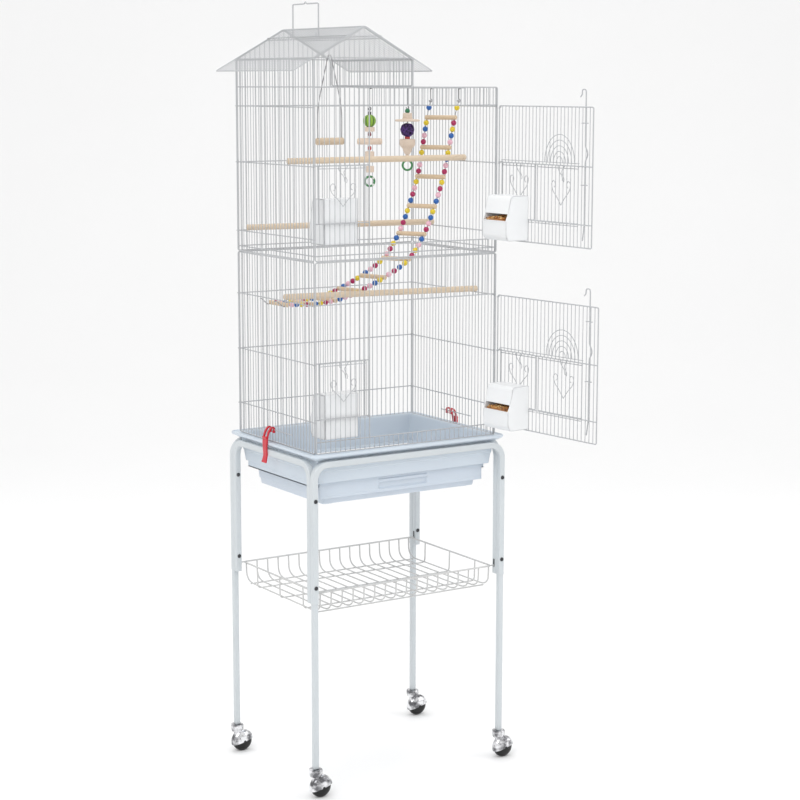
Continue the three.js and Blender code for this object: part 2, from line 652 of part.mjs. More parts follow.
// A round-cornered rectangle as a shape, centred.
function roundedRectangle(halfX, halfY, radius) {
  const shape = new THREE.Shape();
  const corners = [[1, -1], [1, 1], [-1, 1], [-1, -1]];
  corners.forEach(([sx, sy], i) => {
    const start = (i - 1) * (Math.PI / 2);
    const centre = [sx * (halfX - radius), sy * (halfY - radius)];
    shape.absarc(...centre, radius, start, start + Math.PI / 2, false);
  });
  shape.closePath();
  return shape;
}

// A solid between two round-cornered rectangles at two heights, as a tapered block.
function taperedBlock([x0, y0], z0, [x1, y1], z1, radius) {
  const segments = 3;
  const block = new THREE.ExtrudeGeometry(roundedRectangle(x0, y0, radius), {
    depth: z1 - z0, bevelEnabled: false, curveSegments: segments,
  });
  const position = block.attributes.position;
  for (let i = 0; i < position.count; i++) {
    if (position.getZ(i) < (z1 - z0) / 2) continue;
    position.setX(i, position.getX(i) + Math.sign(position.getX(i)) * (x1 - x0));
    position.setY(i, position.getY(i) + Math.sign(position.getY(i)) * (y1 - y0));
  }
  return block.translate(0, 0, z0);
}

const inset = ([x, y], by) => [x - by, y - by];
const STEP_IN = 10; // the drawer's outside, in from the tub's lower edge
const TUB_FOOT = inset(TUB_HALF, TUB_TAPER);
const DRAWER_HALF = inset(TUB_FOOT, STEP_IN);
const RUNNER = 2; // thickness of the drawer's runners
const RUNNER_DROP = 12;
{
  const rimHalf = [RIM_WIDTH / 2, RIM_DEPTH / 2];
  const ledge = CAGE_BOTTOM - CLEARANCE; // the cage's lowest rail stands on it
  const under = RIM_TOP - RIM_HEIGHT;
  const lip = TUB_WALL;
  const rim = taperedBlock(rimHalf, under, rimHalf, RIM_TOP, 14);
  const underRim = taperedBlock(
    inset(rimHalf, lip), under - 1, inset(rimHalf, lip), ledge - TUB_WALL, 12,
  );
  const channel = taperedBlock(
    inset(rimHalf, lip), ledge, inset(rimHalf, lip), RIM_TOP + 1, 12,
  );
  const tub = taperedBlock(TUB_FOOT, TUB_BOTTOM, TUB_HALF, ledge, 16);
  const insideFoot = inset(TUB_FOOT, TUB_WALL);
  const insideTop = inset(TUB_HALF, TUB_WALL);
  const inside = taperedBlock(insideFoot, TUB_BOTTOM + TUB_WALL, insideTop, RIM_TOP + 1, 14);
  const mouth = taperedBlock(
    inset(DRAWER_HALF, 8), TUB_BOTTOM - 1, inset(DRAWER_HALF, 8), TUB_BOTTOM + 8, 10,
  );
  const runners = [-1, 1].flatMap((side) => {
    const web = side * (DRAWER_HALF[0] + RUNNING + RUNNER);
    const inner = side * (DRAWER_HALF[0] + RUNNING);
    const lipEdge = side * (DRAWER_HALF[0] - 4);
    const low = TUB_BOTTOM - RUNNER_DROP;
    const span = [-DRAWER_HALF[1] + 8, DRAWER_HALF[1]];
    const ordered = (a, b) => [Math.min(a, b), Math.max(a, b)];
    const [webLow, webHigh] = ordered(web, inner);
    const [lipLow, lipHigh] = ordered(web, lipEdge);
    return [
      box([webLow, span[0], low], [webHigh, span[1], TUB_BOTTOM + 1]),
      box([lipLow, span[0], low], [lipHigh, span[1], low + RUNNER]),
    ];
  });
  const shell = cut(joined([rim, tub]), [channel, inside, mouth]);
  // The underside of the rim is hollow, outside of the tub's wall.
  const tubSolid = solid(tub);
  const hollow = geometryOf(solid(underRim).subtract(tubSolid));
  place('base_tub', joined([cut(shell, [hollow]), ...runners]), TUB_PLASTIC);
}

// The drawer: its side flanges run on the runners' lips, and its front covers their ends.
{
  const top = TUB_BOTTOM - CLEARANCE * 2;
  const flangeLow = TUB_BOTTOM - RUNNER_DROP + RUNNER + CLEARANCE;
  const bodyHalf = inset(DRAWER_HALF, 6);
  const low = top - TRAY_HEIGHT;
  const footHalf = inset(bodyHalf, 4);
  const body = taperedBlock(inset(bodyHalf, 2), low, bodyHalf, flangeLow + RUNNER, 12);
  const foot = taperedBlock(inset(footHalf, 3), low - TRAY_FOOT, footHalf, low + 1, 12);
  const hollow = taperedBlock(
    inset(bodyHalf, 2 + TUB_WALL), low + TUB_WALL, inset(bodyHalf, TUB_WALL), top + 5, 10,
  );
  const footHollow = taperedBlock(
    inset(footHalf, 3 + TUB_WALL), low - TRAY_FOOT + TUB_WALL, inset(footHalf, TUB_WALL),
    low + 5, 10,
  );
  const flange = box(
    [-DRAWER_HALF[0], -bodyHalf[1], flangeLow],
    [DRAWER_HALF[0], bodyHalf[1] - 12, flangeLow + RUNNER],
  );
  const front = box(
    [-DRAWER_HALF[0], -DRAWER_HALF[1], low], [DRAWER_HALF[0], -DRAWER_HALF[1] + 5, top],
  );
  const fill = box(
    [-bodyHalf[0] + 14, -DRAWER_HALF[1] + 4, low], [bodyHalf[0] - 14, -bodyHalf[1] + 2, low + 5],
  );
  const grip = box([-60, -DRAWER_HALF[1] - 1, low + 6], [60, -DRAWER_HALF[1] + 3, low + 20]);
  const feet = [[1, 1], [1, -1], [-1, 1], [-1, -1]].map(([sx, sy]) => {
    const x = sx * (footHalf[0] - 22);
    const y = sy * (footHalf[1] - 22);
    const z = low - TRAY_FOOT;
    return box([x - 8, y - 8, z - 3], [x + 8, y + 8, z + 1]);
  });
  const shell = cut(joined([body, foot, flange, front, fill]), [hollow, footHollow, grip]);
  place('pull_out_tray', joined([shell, ...feet]), TRAY_PLASTIC);
}

// A clip on each side holds the cage down on the tub's rim.
const CLIP_Y = 15;
const CLIP_WIDTH = 20;
const CLIP_RISE = 33; // above the cage's lowest rail
const CLIP_DROP = 42; // below it
for (const [name, side] of [['left', -1], ['right', 1]]) {
  const out = Math.max(RIM_WIDTH, LEG_SPREAD_X + TUBE) / 2 + RUNNING;
  const inner = HALF_WIDTH + CLEARANCE;
  const top = CAGE_BOTTOM + CLIP_RISE;
  const under = RIM_TOP - RIM_HEIGHT - TUBE - RUNNING;
  const foot = CAGE_BOTTOM - CLIP_DROP;
  const thick = 3;
  const profile = [
    [inner, top], [inner, top - 12], [inner + thick, top - 12], [inner + thick, top - thick],
    [out, top - thick - 5], [out, under], [out + 2, foot], [out + thick + 3, foot],
    [out + thick, under], [out + thick, top - 6], [inner + 8, top],
  ];
  const points = profile.map(([x, z]) => [x * side, z]);
  const outline = side < 0 ? points : points.reverse();
  const geometry = plate(outline, CLIP_WIDTH).rotateX(Math.PI / 2);
  const mesh = place(`${name}_clip`, geometry, RED_PLASTIC);
  mesh.position.y = CLIP_Y + CLIP_WIDTH / 2;
}

// ---------------------------------------------------------------- stand
const LEG_X = LEG_SPREAD_X / 2;
const LEG_Y = LEG_SPREAD_Y / 2;
const RAIL_TOP = RIM_TOP - RIM_HEIGHT - CLEARANCE;

// A square tube bent into a U: its legs point down, and its rail lies along the local X.
function bentFrame(spread) {
  const outer = TUBE / 2;
  const half = spread / 2;
  const middle = BEND - outer; // bend radius at the tube's centre
  const top = RAIL_TOP - outer;
  const bendSteps = 5;
  // Points of the U's outline at an offset from its centre line, left foot to right foot.
  const offsetLine = (offset) => {
    const points = [[-half - offset, FRAME_FOOT]];
    for (const side of [-1, 1]) {
      for (let i = 0; i <= bendSteps; i++) {
        const share = side < 0 ? i / bendSteps : 1 - i / bendSteps;
        const angle = share * (Math.PI / 2);
        points.push([
          side * (half - middle + (middle + offset) * Math.cos(angle)),
          top - middle + (middle + offset) * Math.sin(angle),
        ]);
      }
    }
    points.push([half + offset, FRAME_FOOT]);
    return points;
  };
  const band = (offset) => offsetLine(offset).concat(offsetLine(-offset).reverse());
  const solidFrame = plate(band(outer).reverse(), TUBE).translate(0, 0, -outer);
  const bore = plate(band(outer - TUBE_WALL).reverse(), TUBE - 2 * TUBE_WALL)
    .translate(0, 0, -outer + TUBE_WALL);
  const openEnds = [-1, 1].map((side) => box(
    [side * half - outer + TUBE_WALL, FRAME_FOOT - 5, -outer + TUBE_WALL],
    [side * half + outer - TUBE_WALL, FRAME_FOOT + 5, outer - TUBE_WALL],
  ));
  return cut(solidFrame, [bore, ...openEnds]).rotateX(Math.PI / 2);
}

const SIDE_LEG_SPREAD = LEG_SPREAD_Y - 2 * (TUBE + CLEARANCE);
for (const [name, sign] of [['front', -1], ['back', 1]]) {
  const frame = place(`stand_${name}_frame`, bentFrame(LEG_SPREAD_X), ENAMEL);
  frame.position.y = sign * LEG_Y;
}
for (const [name, sign] of [['left', -1], ['right', 1]]) {
  const frame = place(`stand_${name}_frame`, bentFrame(SIDE_LEG_SPREAD), ENAMEL);
  frame.position.x = sign * LEG_X;
  frame.rotation.z = Math.PI / 2;
}

// Lower legs and their casters.
const WHEEL_FLAT = WHEEL_RADIUS * Math.cos(Math.PI / WHEEL_SIDES);
const HOOD_INNER = WHEEL_RADIUS + 1.5;
const HOOD_WALL = 2;
const CHEEK = 1.6;

// The swivel's own frame has its line at x = 0 and the floor at z = 0.
function casterGeometry() {
  const halfWidth = WHEEL_WIDTH / 2 + 1 + CHEEK;
  const axleZ = WHEEL_FLAT;
  const arc = new THREE.Shape();
  const from = THREE.MathUtils.degToRad(-12);
  const to = THREE.MathUtils.degToRad(192);
  arc.absarc(0, 0, HOOD_INNER + HOOD_WALL, from, to, false);
  arc.absarc(0, 0, HOOD_INNER, to, from, true);
  const cheek = new THREE.Shape();
  cheek.absarc(0, 0, HOOD_INNER + HOOD_WALL / 2, from, to, false);
  cheek.closePath();
  const stand = (shape, low, high) =>
    new THREE.ExtrudeGeometry(shape, { depth: high - low, bevelEnabled: false, curveSegments: 7 })
      .translate(0, 0, low)
      .rotateX(Math.PI / 2)
      .translate(TRAIL, 0, axleZ);
  const collarTop = CASTER_HEIGHT - CLEARANCE;
  const collar = rod(
    [0, 0, collarTop - COLLAR_HEIGHT - 6], [0, 0, collarTop], COLLAR_RADIUS, 12,
  );
  const wheelWell = new THREE.CylinderGeometry(HOOD_INNER, HOOD_INNER, 2 * halfWidth, 16)
    .translate(TRAIL, 0, axleZ);
  return joined([
    stand(arc, -halfWidth, halfWidth),
    stand(cheek, -halfWidth, -halfWidth + CHEEK),
    stand(cheek, halfWidth - CHEEK, halfWidth),
    rod([TRAIL, -halfWidth, axleZ], [TRAIL, halfWidth, axleZ], AXLE / 2, 8),
    cut(collar, [wheelWell]),
  ]);
}

function wheelGeometry() {
  const r = AXLE / 2 + 0.2;
  const half = WHEEL_WIDTH / 2;
  const profile = [
    [r, -half], [WHEEL_RADIUS, -half], [WHEEL_RADIUS, half], [r, half], [r, -half],
  ].map(([radius, along]) => new THREE.Vector2(radius, along));
  // A facet, not a corner, faces the floor.
  return new THREE.LatheGeometry(profile, WHEEL_SIDES).rotateY(Math.PI / WHEEL_SIDES);
}

const corners = [
  ['front_left', -1, -1], ['front_right', 1, -1], ['back_left', -1, 1], ['back_right', 1, 1],
];
for (const [name, sx, sy] of corners) {
  const [x, y] = [sx * LEG_X, sy * LEG_Y];
  const half = LEG / 2;
  place(`${name}_leg`, box(
    [x - half, y - half, CASTER_HEIGHT], [x + half, y + half, FRAME_FOOT + LEG_NEST],
  ), ENAMEL);
  const caster = place(`${name}_caster`, casterGeometry(), CHROME);
  caster.position.set(x, y, 0);
  const wheel = place(`${name}_wheel`, wheelGeometry(), BLACK_PLASTIC);
  wheel.position.set(x + TRAIL, y, WHEEL_FLAT);
}

// ---------------------------------------------------------------- storage basket
// Ribs run from the front rim down, across the floor and up to the back rim.
{
  const halfX = LEG_X - TUBE / 2 - 8;
  const halfY = LEG_Y - 10;
  const width = 2 * halfX;
  const depth = 2 * halfY;
  const floorZ = BASKET_RIM - BASKET_DEPTH;
  const edge = BASKET_WIRE;
  const ribGaps = gapsAcross(width, edge, BASKET_RIB_PITCH);
  const side = () => sheet(
    rectangle(0, 0, width, BASKET_DEPTH),
    gapHoles(ribGaps, edge, () => BASKET_DEPTH - edge), BASKET_WIRE,
  ).rotateX(Math.PI / 2);
  const floor = sheet(
    rectangle(0, 0, width, depth), gapHoles(ribGaps, edge, () => depth - edge), BASKET_WIRE,
  );
  const endGaps = gapsAcross(BASKET_DEPTH, edge, BASKET_DEPTH / 3);
  const end = () => sheet(
    rectangle(0, 0, depth, BASKET_DEPTH),
    endGaps.map(([low, high]) => rectangle(edge, low, depth - edge, high)), BASKET_WIRE,
  ).rotateX(Math.PI / 2).rotateZ(Math.PI / 2);
  const hooks = corners.map(([, sx, sy]) => {
    const y = sy * (LEG_Y - TUBE - 16);
    const [near, far] = [sx * (halfX - 1), sx * (LEG_X - TUBE / 2 - CLEARANCE)];
    return box(
      [Math.min(near, far), y - 1.5, BASKET_RIM - edge],
      [Math.max(near, far), y + 1.5, BASKET_RIM],
    );
  });
  place('wire_basket', joined([
    side().translate(-halfX, -halfY + BASKET_WIRE, floorZ),
    side().translate(-halfX, halfY, floorZ),
    floor.translate(-halfX, -halfY, floorZ),
    end().translate(-halfX, -halfY, floorZ),
    end().translate(halfX - BASKET_WIRE, -halfY, floorZ),
    ...hooks,
  ]), ENAMEL);
}

// ---------------------------------------------------------------- origin
// Under the middle of the whole object's box, on the floor.
const bounds = new THREE.Box3().setFromObject(root, true);
const centre = bounds.getCenter(new THREE.Vector3());
root.position.set(-centre.x, -centre.y, -bounds.min.z);

export default root;
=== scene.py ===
# %% [markdown]
# # A wire bird cage on a wheeled stand
#
# The real object is almost all wire: hundreds of thin enamelled rods welded into flat panels,
# hooked together over a plastic tub. A wire could be a Blender curve with a bevel, but hundreds
# of curves are slow to handle one by one. Here every wire is a swept surface worked out with
# numpy: a small ring of points carried along a path. One mesh then holds a whole panel.

# %% Load the frame
import json
import math

import bpy
from mathutils import Matrix, Vector
import numpy as np


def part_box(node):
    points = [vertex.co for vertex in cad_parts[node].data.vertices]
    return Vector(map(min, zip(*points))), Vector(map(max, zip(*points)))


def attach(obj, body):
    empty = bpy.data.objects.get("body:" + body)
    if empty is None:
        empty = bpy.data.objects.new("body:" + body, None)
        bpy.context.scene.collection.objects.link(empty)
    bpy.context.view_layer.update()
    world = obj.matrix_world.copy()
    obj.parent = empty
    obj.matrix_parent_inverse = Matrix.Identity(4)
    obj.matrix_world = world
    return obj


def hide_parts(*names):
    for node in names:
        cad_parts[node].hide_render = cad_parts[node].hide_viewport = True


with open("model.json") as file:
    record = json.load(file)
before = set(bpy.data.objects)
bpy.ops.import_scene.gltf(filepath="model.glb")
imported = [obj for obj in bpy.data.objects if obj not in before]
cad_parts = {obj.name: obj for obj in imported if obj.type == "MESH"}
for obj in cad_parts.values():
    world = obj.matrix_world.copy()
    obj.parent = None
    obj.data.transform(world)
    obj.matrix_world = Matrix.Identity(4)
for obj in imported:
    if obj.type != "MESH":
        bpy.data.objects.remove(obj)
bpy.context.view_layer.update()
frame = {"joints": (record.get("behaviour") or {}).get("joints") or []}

# %% [markdown]
# ## Where things are
#
# All lengths below are millimetres, measured from the cage's own centre line, which is where a
# maker's drawing would put the origin. The packed frame has its origin elsewhere and uses
# metres, so one constant and one function carry every point across.

# %% Measures from the frame
MM = 0.001
front_low, front_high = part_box("lower_front_wall")
back_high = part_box("lower_back_wall")[1]
CENTRE = np.array([
    (front_low[0] + front_high[0]) / 2,
    (front_low[1] + back_high[1]) / 2,
    0.0,
]) / MM


def edges(node):
    """Lowest and highest corner of a CAD node, in millimetres from the cage's centre line."""
    low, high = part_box(node)
    return np.array(low) / MM - CENTRE, np.array(high) / MM - CENTRE


JOINTS = {joint["name"]: joint for joint in frame["joints"]}


def pivot(joint):
    """A joint's point in millimetres from the cage's centre line."""
    return np.array(JOINTS[joint]["pos_m"]) / MM - CENTRE


(_, _, CAGE_BOTTOM), (HALF_WIDTH, _, LOWER_TOP) = edges("lower_front_wall")
HALF_DEPTH = edges("lower_back_wall")[1][1]
UPPER_BOTTOM = edges("upper_front_wall")[0][2]
FLAT_TOP = edges("upper_right_wall")[1][2]
TOWER_RIGHT, _, TOWER_TOP = edges("tower_right_wall")[1]
(_, _, EAVES_Z), (EAVES_X, _, RIDGE_Z) = edges("roof_right_slope")
RIDGE_X = (TOWER_RIGHT - HALF_WIDTH) / 2
print(f"cage {2 * HALF_WIDTH:.1f} x {2 * HALF_DEPTH:.1f} mm, ridge at {RIDGE_Z:.1f} mm")

# %% [markdown]
# ## Surfaces
#
# A `Surface` is just points and faces. It can be joined to others, so a panel of wires is the
# sum of its wires. Each surface is closed and its faces point outwards, which keeps shading
# right from every side.

# %% Surface and grid helpers
class Surface:
    """Points (n, 3) and a list of face arrays, each (m, corners). Paint is one colour."""

    def __init__(self, points, faces, paint=(1.0, 1.0, 1.0)):
        self.points = np.asarray(points, float)
        self.faces = [np.asarray(face, int) for face in faces]
        self.paint = np.broadcast_to(np.asarray(paint, float), (len(self.points), 3))

    def moved(self, offset):
        """The same surface shifted by an offset."""
        return Surface(self.points + np.asarray(offset, float), self.faces, self.paint)

    def painted(self, colour):
        """The same surface in one paint colour."""
        return Surface(self.points, self.faces, colour)


def together(surfaces):
    """Several surfaces as one: points are stacked, and face numbers shifted to match."""
    starts = np.cumsum([0] + [len(s.points) for s in surfaces[:-1]])
    return Surface(
        np.concatenate([s.points for s in surfaces]),
        [face + start for s, start in zip(surfaces, starts) for face in s.faces],
        np.concatenate([s.paint for s in surfaces]),
    )


def grid_faces(rows, columns, wrap_rows=False, wrap_columns=False):
    """Four-cornered faces of a rows x columns grid of points, numbered row by row."""
    i = np.arange(rows if wrap_rows else rows - 1)
    j = np.arange(columns if wrap_columns else columns - 1)
    i, j = np.meshgrid(i, j, indexing="ij")
    down, right = (i + 1) % rows, (j + 1) % columns
    corners = [i * columns + j, down * columns + j, down * columns + right, i * columns + right]
    return np.stack(corners, -1).reshape(-1, 4)


print("a grid of 3 x 3 points has", len(grid_faces(3, 3)), "faces")


# %% [markdown]
# ## Sweeping a section along a path
#
# At each point of the path two directions at right angles to it are needed to place the
# section's ring. They come from the path's own flattest plane: the plane's normal never lines
# up with a path that lies in it, so the ring never flips on a bent wire.

# %% Sweeps
def frames_along(paths):
    """Two unit directions across each path point, for paths of shape (n, stations, 3).

    The first is the tangent crossed with the normal of the path's best-fitting plane, and the
    second completes the set.
    """
    tangents = np.gradient(paths, axis=1)
    tangents /= np.linalg.norm(tangents, axis=-1, keepdims=True)
    spread = paths - paths.mean(axis=1, keepdims=True)
    covariance = np.einsum("nsi,nsj->nij", spread, spread)
    _, directions = np.linalg.eigh(covariance)
    normal = np.broadcast_to(directions[:, None, :, 0], paths.shape)
    across = np.cross(tangents, normal)
    across /= np.linalg.norm(across, axis=-1, keepdims=True)
    return across, np.cross(tangents, across)


def swept(paths, section, scale=1.0, closed=False):
    """A section (k, 2) carried along each of n paths (n, stations, 3), as closed surfaces.

    Each point is the path's point plus the section's two coordinates along the two directions
    across the path. Open paths are capped with one flat face at each end.
    """
    paths = np.asarray(paths, float)
    count, stations, _ = paths.shape
    if closed:
        padded = np.concatenate([paths[:, -1:], paths, paths[:, :1]], axis=1)
        across, up = (direction[:, 1:-1] for direction in frames_along(padded))
    else:
        across, up = frames_along(paths)
    scale = np.broadcast_to(scale, (count, stations))[..., None, None]
    section = np.asarray(section, float)
    rings = paths[:, :, None] + scale * (
        section[:, 0, None] * across[:, :, None] + section[:, 1, None] * up[:, :, None]
    )
    corners = len(section)
    size = stations * corners
    one = grid_faces(stations, corners, wrap_rows=closed, wrap_columns=True)[:, ::-1]
    starts = np.arange(count)[:, None, None] * size
    faces = [(one[None] + starts).reshape(-1, 4)]
    if not closed:
        first = np.arange(corners)[::-1]
        last = np.arange(corners) + size - corners
        faces.append(np.concatenate([first[None] + starts[:, 0], last[None] + starts[:, 0]]))
    return Surface(rings.reshape(-1, 3), faces)


def circle(radius, sides=8):
    """Points round a circle, as (sides, 2)."""
    angle = np.linspace(0, 2 * np.pi, sides, endpoint=False)
    return radius * np.stack([np.cos(angle), np.sin(angle)], -1)


def rods(starts, ends, diameter, sides=8):
    """Straight wires between matching starts and ends."""
    starts, ends = np.broadcast_arrays(np.atleast_2d(starts), np.atleast_2d(ends))
    return swept(np.stack([starts, ends], axis=1), circle(diameter / 2, sides))


def smooth_path(points, per_span=6):
    """A smooth path through points: the Catmull-Rom formula, evaluated for all spans at once."""
    points = np.asarray(points, float)
    first, last = 2 * points[0] - points[1], 2 * points[-1] - points[-2]
    padded = np.concatenate([first[None], points, last[None]])
    p0, p1, p2, p3 = (padded[i:len(padded) - 3 + i, None] for i in range(4))
    t = (np.arange(per_span) / per_span)[None, :, None]
    curve = 0.5 * (
        2 * p1 + (p2 - p0) * t + (2 * p0 - 5 * p1 + 4 * p2 - p3) * t ** 2
        + (3 * p1 - p0 - 3 * p2 + p3) * t ** 3
    )
    return np.concatenate([curve.reshape(-1, points.shape[1]), points[-1:]])


def filleted(points, radius, steps=5):
    """A polyline with its inner corners rounded: each corner becomes a quadratic curve.

    The curve starts and ends at the radius from the corner (or half the leg, if shorter).
    """
    points = np.asarray(points, float)
    before, corner, after = points[:-2], points[1:-1], points[2:]
    t = np.linspace(0, 1, steps + 1)[None, :, None]

    def leg(other):
        gap = other - corner
        length = np.linalg.norm(gap, axis=1, keepdims=True)
        return corner + gap / length * np.minimum(radius, length / 2.02)

    a, b = leg(before)[:, None], leg(after)[:, None]
    arcs = (1 - t) ** 2 * a + 2 * t * (1 - t) * corner[:, None] + t ** 2 * b
    return np.concatenate([points[:1], arcs.reshape(-1, points.shape[1]), points[-1:]])


def bent_wire(points, diameter, closed=False, sides=8):
    """One round wire along a path."""
    return swept(np.asarray(points, float)[None], circle(diameter / 2, sides), closed=closed)


print("a rod has", len(rods([0, 0, 0], [0, 0, 1], 1).points), "points")

# %% [markdown]
# ## From a surface to an object
#
# `piece` writes the arrays into a mesh in one go with `foreach_set`, gives it a material, hangs
# it on the empty of the body it rides on, and hides the CAD node it stands for. The paint colour
# becomes a point attribute, so one lacquer material can serve beads of every colour.

# %% Objects
PAINT = "paint"
CREASE = math.radians(40)  # a sharper fold than this is shaded as an edge


def piece(name, surfaces, material, body, slot, replaces=(), smooth=True):
    """Makes an object from surfaces in millimetres, hangs it on its body and hides what it
    replaces.
    """
    whole = together(surfaces) if isinstance(surfaces, list) else surfaces
    mesh = bpy.data.meshes.new(name)
    points = (whole.points + CENTRE) * MM
    sizes = np.concatenate([np.full(len(face), face.shape[1]) for face in whole.faces])
    corners = np.concatenate([face.ravel() for face in whole.faces])
    mesh.vertices.add(len(points))
    mesh.vertices.foreach_set("co", points.ravel())
    mesh.loops.add(len(corners))
    mesh.loops.foreach_set("vertex_index", corners)
    mesh.polygons.add(len(sizes))
    mesh.polygons.foreach_set("loop_start", np.concatenate([[0], np.cumsum(sizes)[:-1]]))
    mesh.polygons.foreach_set("loop_total", sizes)
    mesh.polygons.foreach_set("use_smooth", np.full(len(sizes), smooth))
    mesh.update(calc_edges=True)
    mesh.validate()
    paint = mesh.attributes.new(PAINT, "FLOAT_COLOR", "POINT")
    rgba = np.concatenate([whole.paint, np.ones((len(points), 1))], axis=1)
    paint.data.foreach_set("color", rgba.ravel())
    if smooth:
        mesh.set_sharp_from_angle(angle=CREASE)
    mesh.materials.append(material)
    made = bpy.data.objects.new(name, mesh)
    bpy.context.scene.collection.objects.link(made)
    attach(made, body)
    if replaces:
        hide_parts(*replaces)
    print(f"{name}: {len(sizes)} faces")
    return made


# %% [markdown]
# ## Shader maths
#
# A procedural material is arithmetic on a surface's coordinates. Writing it node by node hides
# the sum, so `Wire` wraps a socket and turns Python's operators into Math nodes, and `Finish`
# makes any other node from its type, its settings and what feeds it.

# %% Material helpers
class Wire:
    """An output socket whose operators add Math nodes."""

    def __init__(self, finish, socket):
        self.finish, self.socket = finish, socket

    def _math(self, operation, *terms):
        return self.finish.node("ShaderNodeMath", {"operation": operation},
                                dict(enumerate(terms)))

    def __add__(self, other): return self._math("ADD", self, other)
    def __radd__(self, other): return self._math("ADD", other, self)
    def __sub__(self, other): return self._math("SUBTRACT", self, other)
    def __rsub__(self, other): return self._math("SUBTRACT", other, self)
    def __mul__(self, other): return self._math("MULTIPLY", self, other)
    def __rmul__(self, other): return self._math("MULTIPLY", other, self)
    def __gt__(self, other): return self._math("GREATER_THAN", self, other)


class Finish:
    """A material being wired up, starting from its Principled shader and its constants."""

    def __init__(self, name, **constants):
        self.material = bpy.data.materials.new(name)
        self.material.use_nodes = True
        self.tree = self.material.node_tree
        self.shader = self.tree.nodes["Principled BSDF"]
        for socket, value in constants.items():
            self.shader.inputs[socket.replace("_", " ")].default_value = value

    def feed(self, socket, value):
        """Links a wire to a socket, or sets the socket's own value."""
        if isinstance(value, Wire):
            self.tree.links.new(value.socket, socket)
        elif isinstance(value, tuple) and len(value) == 3 and socket.type == "RGBA":
            socket.default_value = (*value, 1.0)
        else:
            socket.default_value = value

    def node(self, kind, settings=None, inputs=None, output=0):
        """A node of a kind, with its settings set first and its inputs fed after."""
        made = self.tree.nodes.new(kind)
        for setting, value in (settings or {}).items():
            setattr(made, setting, value)
        for socket, value in (inputs or {}).items():
            self.feed(made.inputs[socket], value)
        return Wire(self, made.outputs[output])

    def place(self, scale=(1, 1, 1)):
        """The point on the piece, in metres, stretched by a scale."""
        point = self.node("ShaderNodeTexCoord", output="Object")
        return self.node("ShaderNodeMapping", None, {"Vector": point, "Scale": scale})

    def noise(self, scale, detail=2.0, stretch=(1, 1, 1)):
        """Smooth noise from 0 to 1: scale is its waves per metre."""
        return self.node("ShaderNodeTexNoise", None, {
            "Vector": self.place(stretch), "Scale": scale, "Detail": detail,
        })

    def mix(self, share, first, second):
        """Two colours mixed by a share."""
        return self.node("ShaderNodeMix", {"data_type": "RGBA"},
                         {0: share, 6: first, 7: second}, output=2)

    def paint(self):
        """The colour stored on the mesh's points."""
        return self.node("ShaderNodeAttribute", {"attribute_name": PAINT}, output="Color")

    def bump(self, height, strength, distance):
        """Feeds the Normal input from a height wire; the distance is in metres."""
        normal = self.node("ShaderNodeBump", None, {
            "Height": height, "Strength": strength, "Distance": distance,
        })
        self.feed(self.shader.inputs["Normal"], normal)

    def set(self, **sockets):
        """Feeds the Principled shader's sockets."""
        for socket, value in sockets.items():
            self.feed(self.shader.inputs[socket.replace("_", " ")], value)
        print(f"finish {self.material.name}: {len(self.tree.nodes)} nodes")
        return self.material


print("operators on a socket:", [name for name, of_wire in vars(Wire).items()
                                if name.startswith("__") and name != "__init__"
                                and callable(of_wire)])

# %% [markdown]
# ## Finishes
#
# The cage wire is dipped in a glossy off-white enamel that runs a little thick and thin, so its
# roughness and shade drift along the wire. The stand's tubes have a powder coat with a fine
# orange-peel surface. Both use the same recipe with other numbers. An image would need every
# wire unwrapped; noise on Object coordinates needs no unwrapping and stays put on the metal.

# %% Enamelled metal
def enamel(name, colour, shade, roughness, peel, peel_scale):
    """An off-white coat: slow drift in shade, finer drift in gloss, and orange peel as bump."""
    finish = Finish(name, Coat_Weight=0.25, Coat_Roughness=0.12, IOR=1.5)
    drift = finish.noise(9, 3)
    fine = finish.noise(peel_scale, 2)
    finish.bump(fine, 0.25, peel)
    return finish.set(
        Base_Color=finish.mix(drift, colour, shade),
        Roughness=roughness + 0.12 * (finish.noise(60, 2) - 0.5),
    )


WIRE_ENAMEL = enamel("wire_enamel", (0.48, 0.49, 0.505), (0.38, 0.39, 0.405), 0.30, 0.00006, 900)
STAND_COAT = enamel("stand_powder_coat", (0.60, 0.635, 0.655), (0.53, 0.57, 0.595), 0.38,
                    0.00010, 1500)
BASKET_COAT = enamel("basket_coat", (0.60, 0.60, 0.59), (0.50, 0.50, 0.50), 0.32, 0.00006, 900)

# %% [markdown]
# The base is injection-moulded in a pale blue-grey plastic. Its skin has a very fine grain from
# the tool, faint flow marks that run along the long side, and scuffs that dull the gloss. The
# grain could be modelled, but it is finer than a hair, so bump from the material serves better.

# %% Moulded plastics
def moulded(name, colour, shade, roughness, grain=0.00005, **constants):
    """A moulded plastic: flow marks drift its colour, fine grain and scuffs vary its gloss."""
    finish = Finish(name, **constants)
    flow = finish.noise(14, 3, stretch=(0.35, 1, 1))
    scuffs = finish.noise(220, 4, stretch=(0.3, 1, 1))
    finish.bump(finish.noise(2200, 2) + 0.5 * scuffs, 0.2, grain)
    return finish.set(
        Base_Color=finish.mix(flow, colour, shade),
        Roughness=roughness + 0.10 * (scuffs - 0.5),
    )


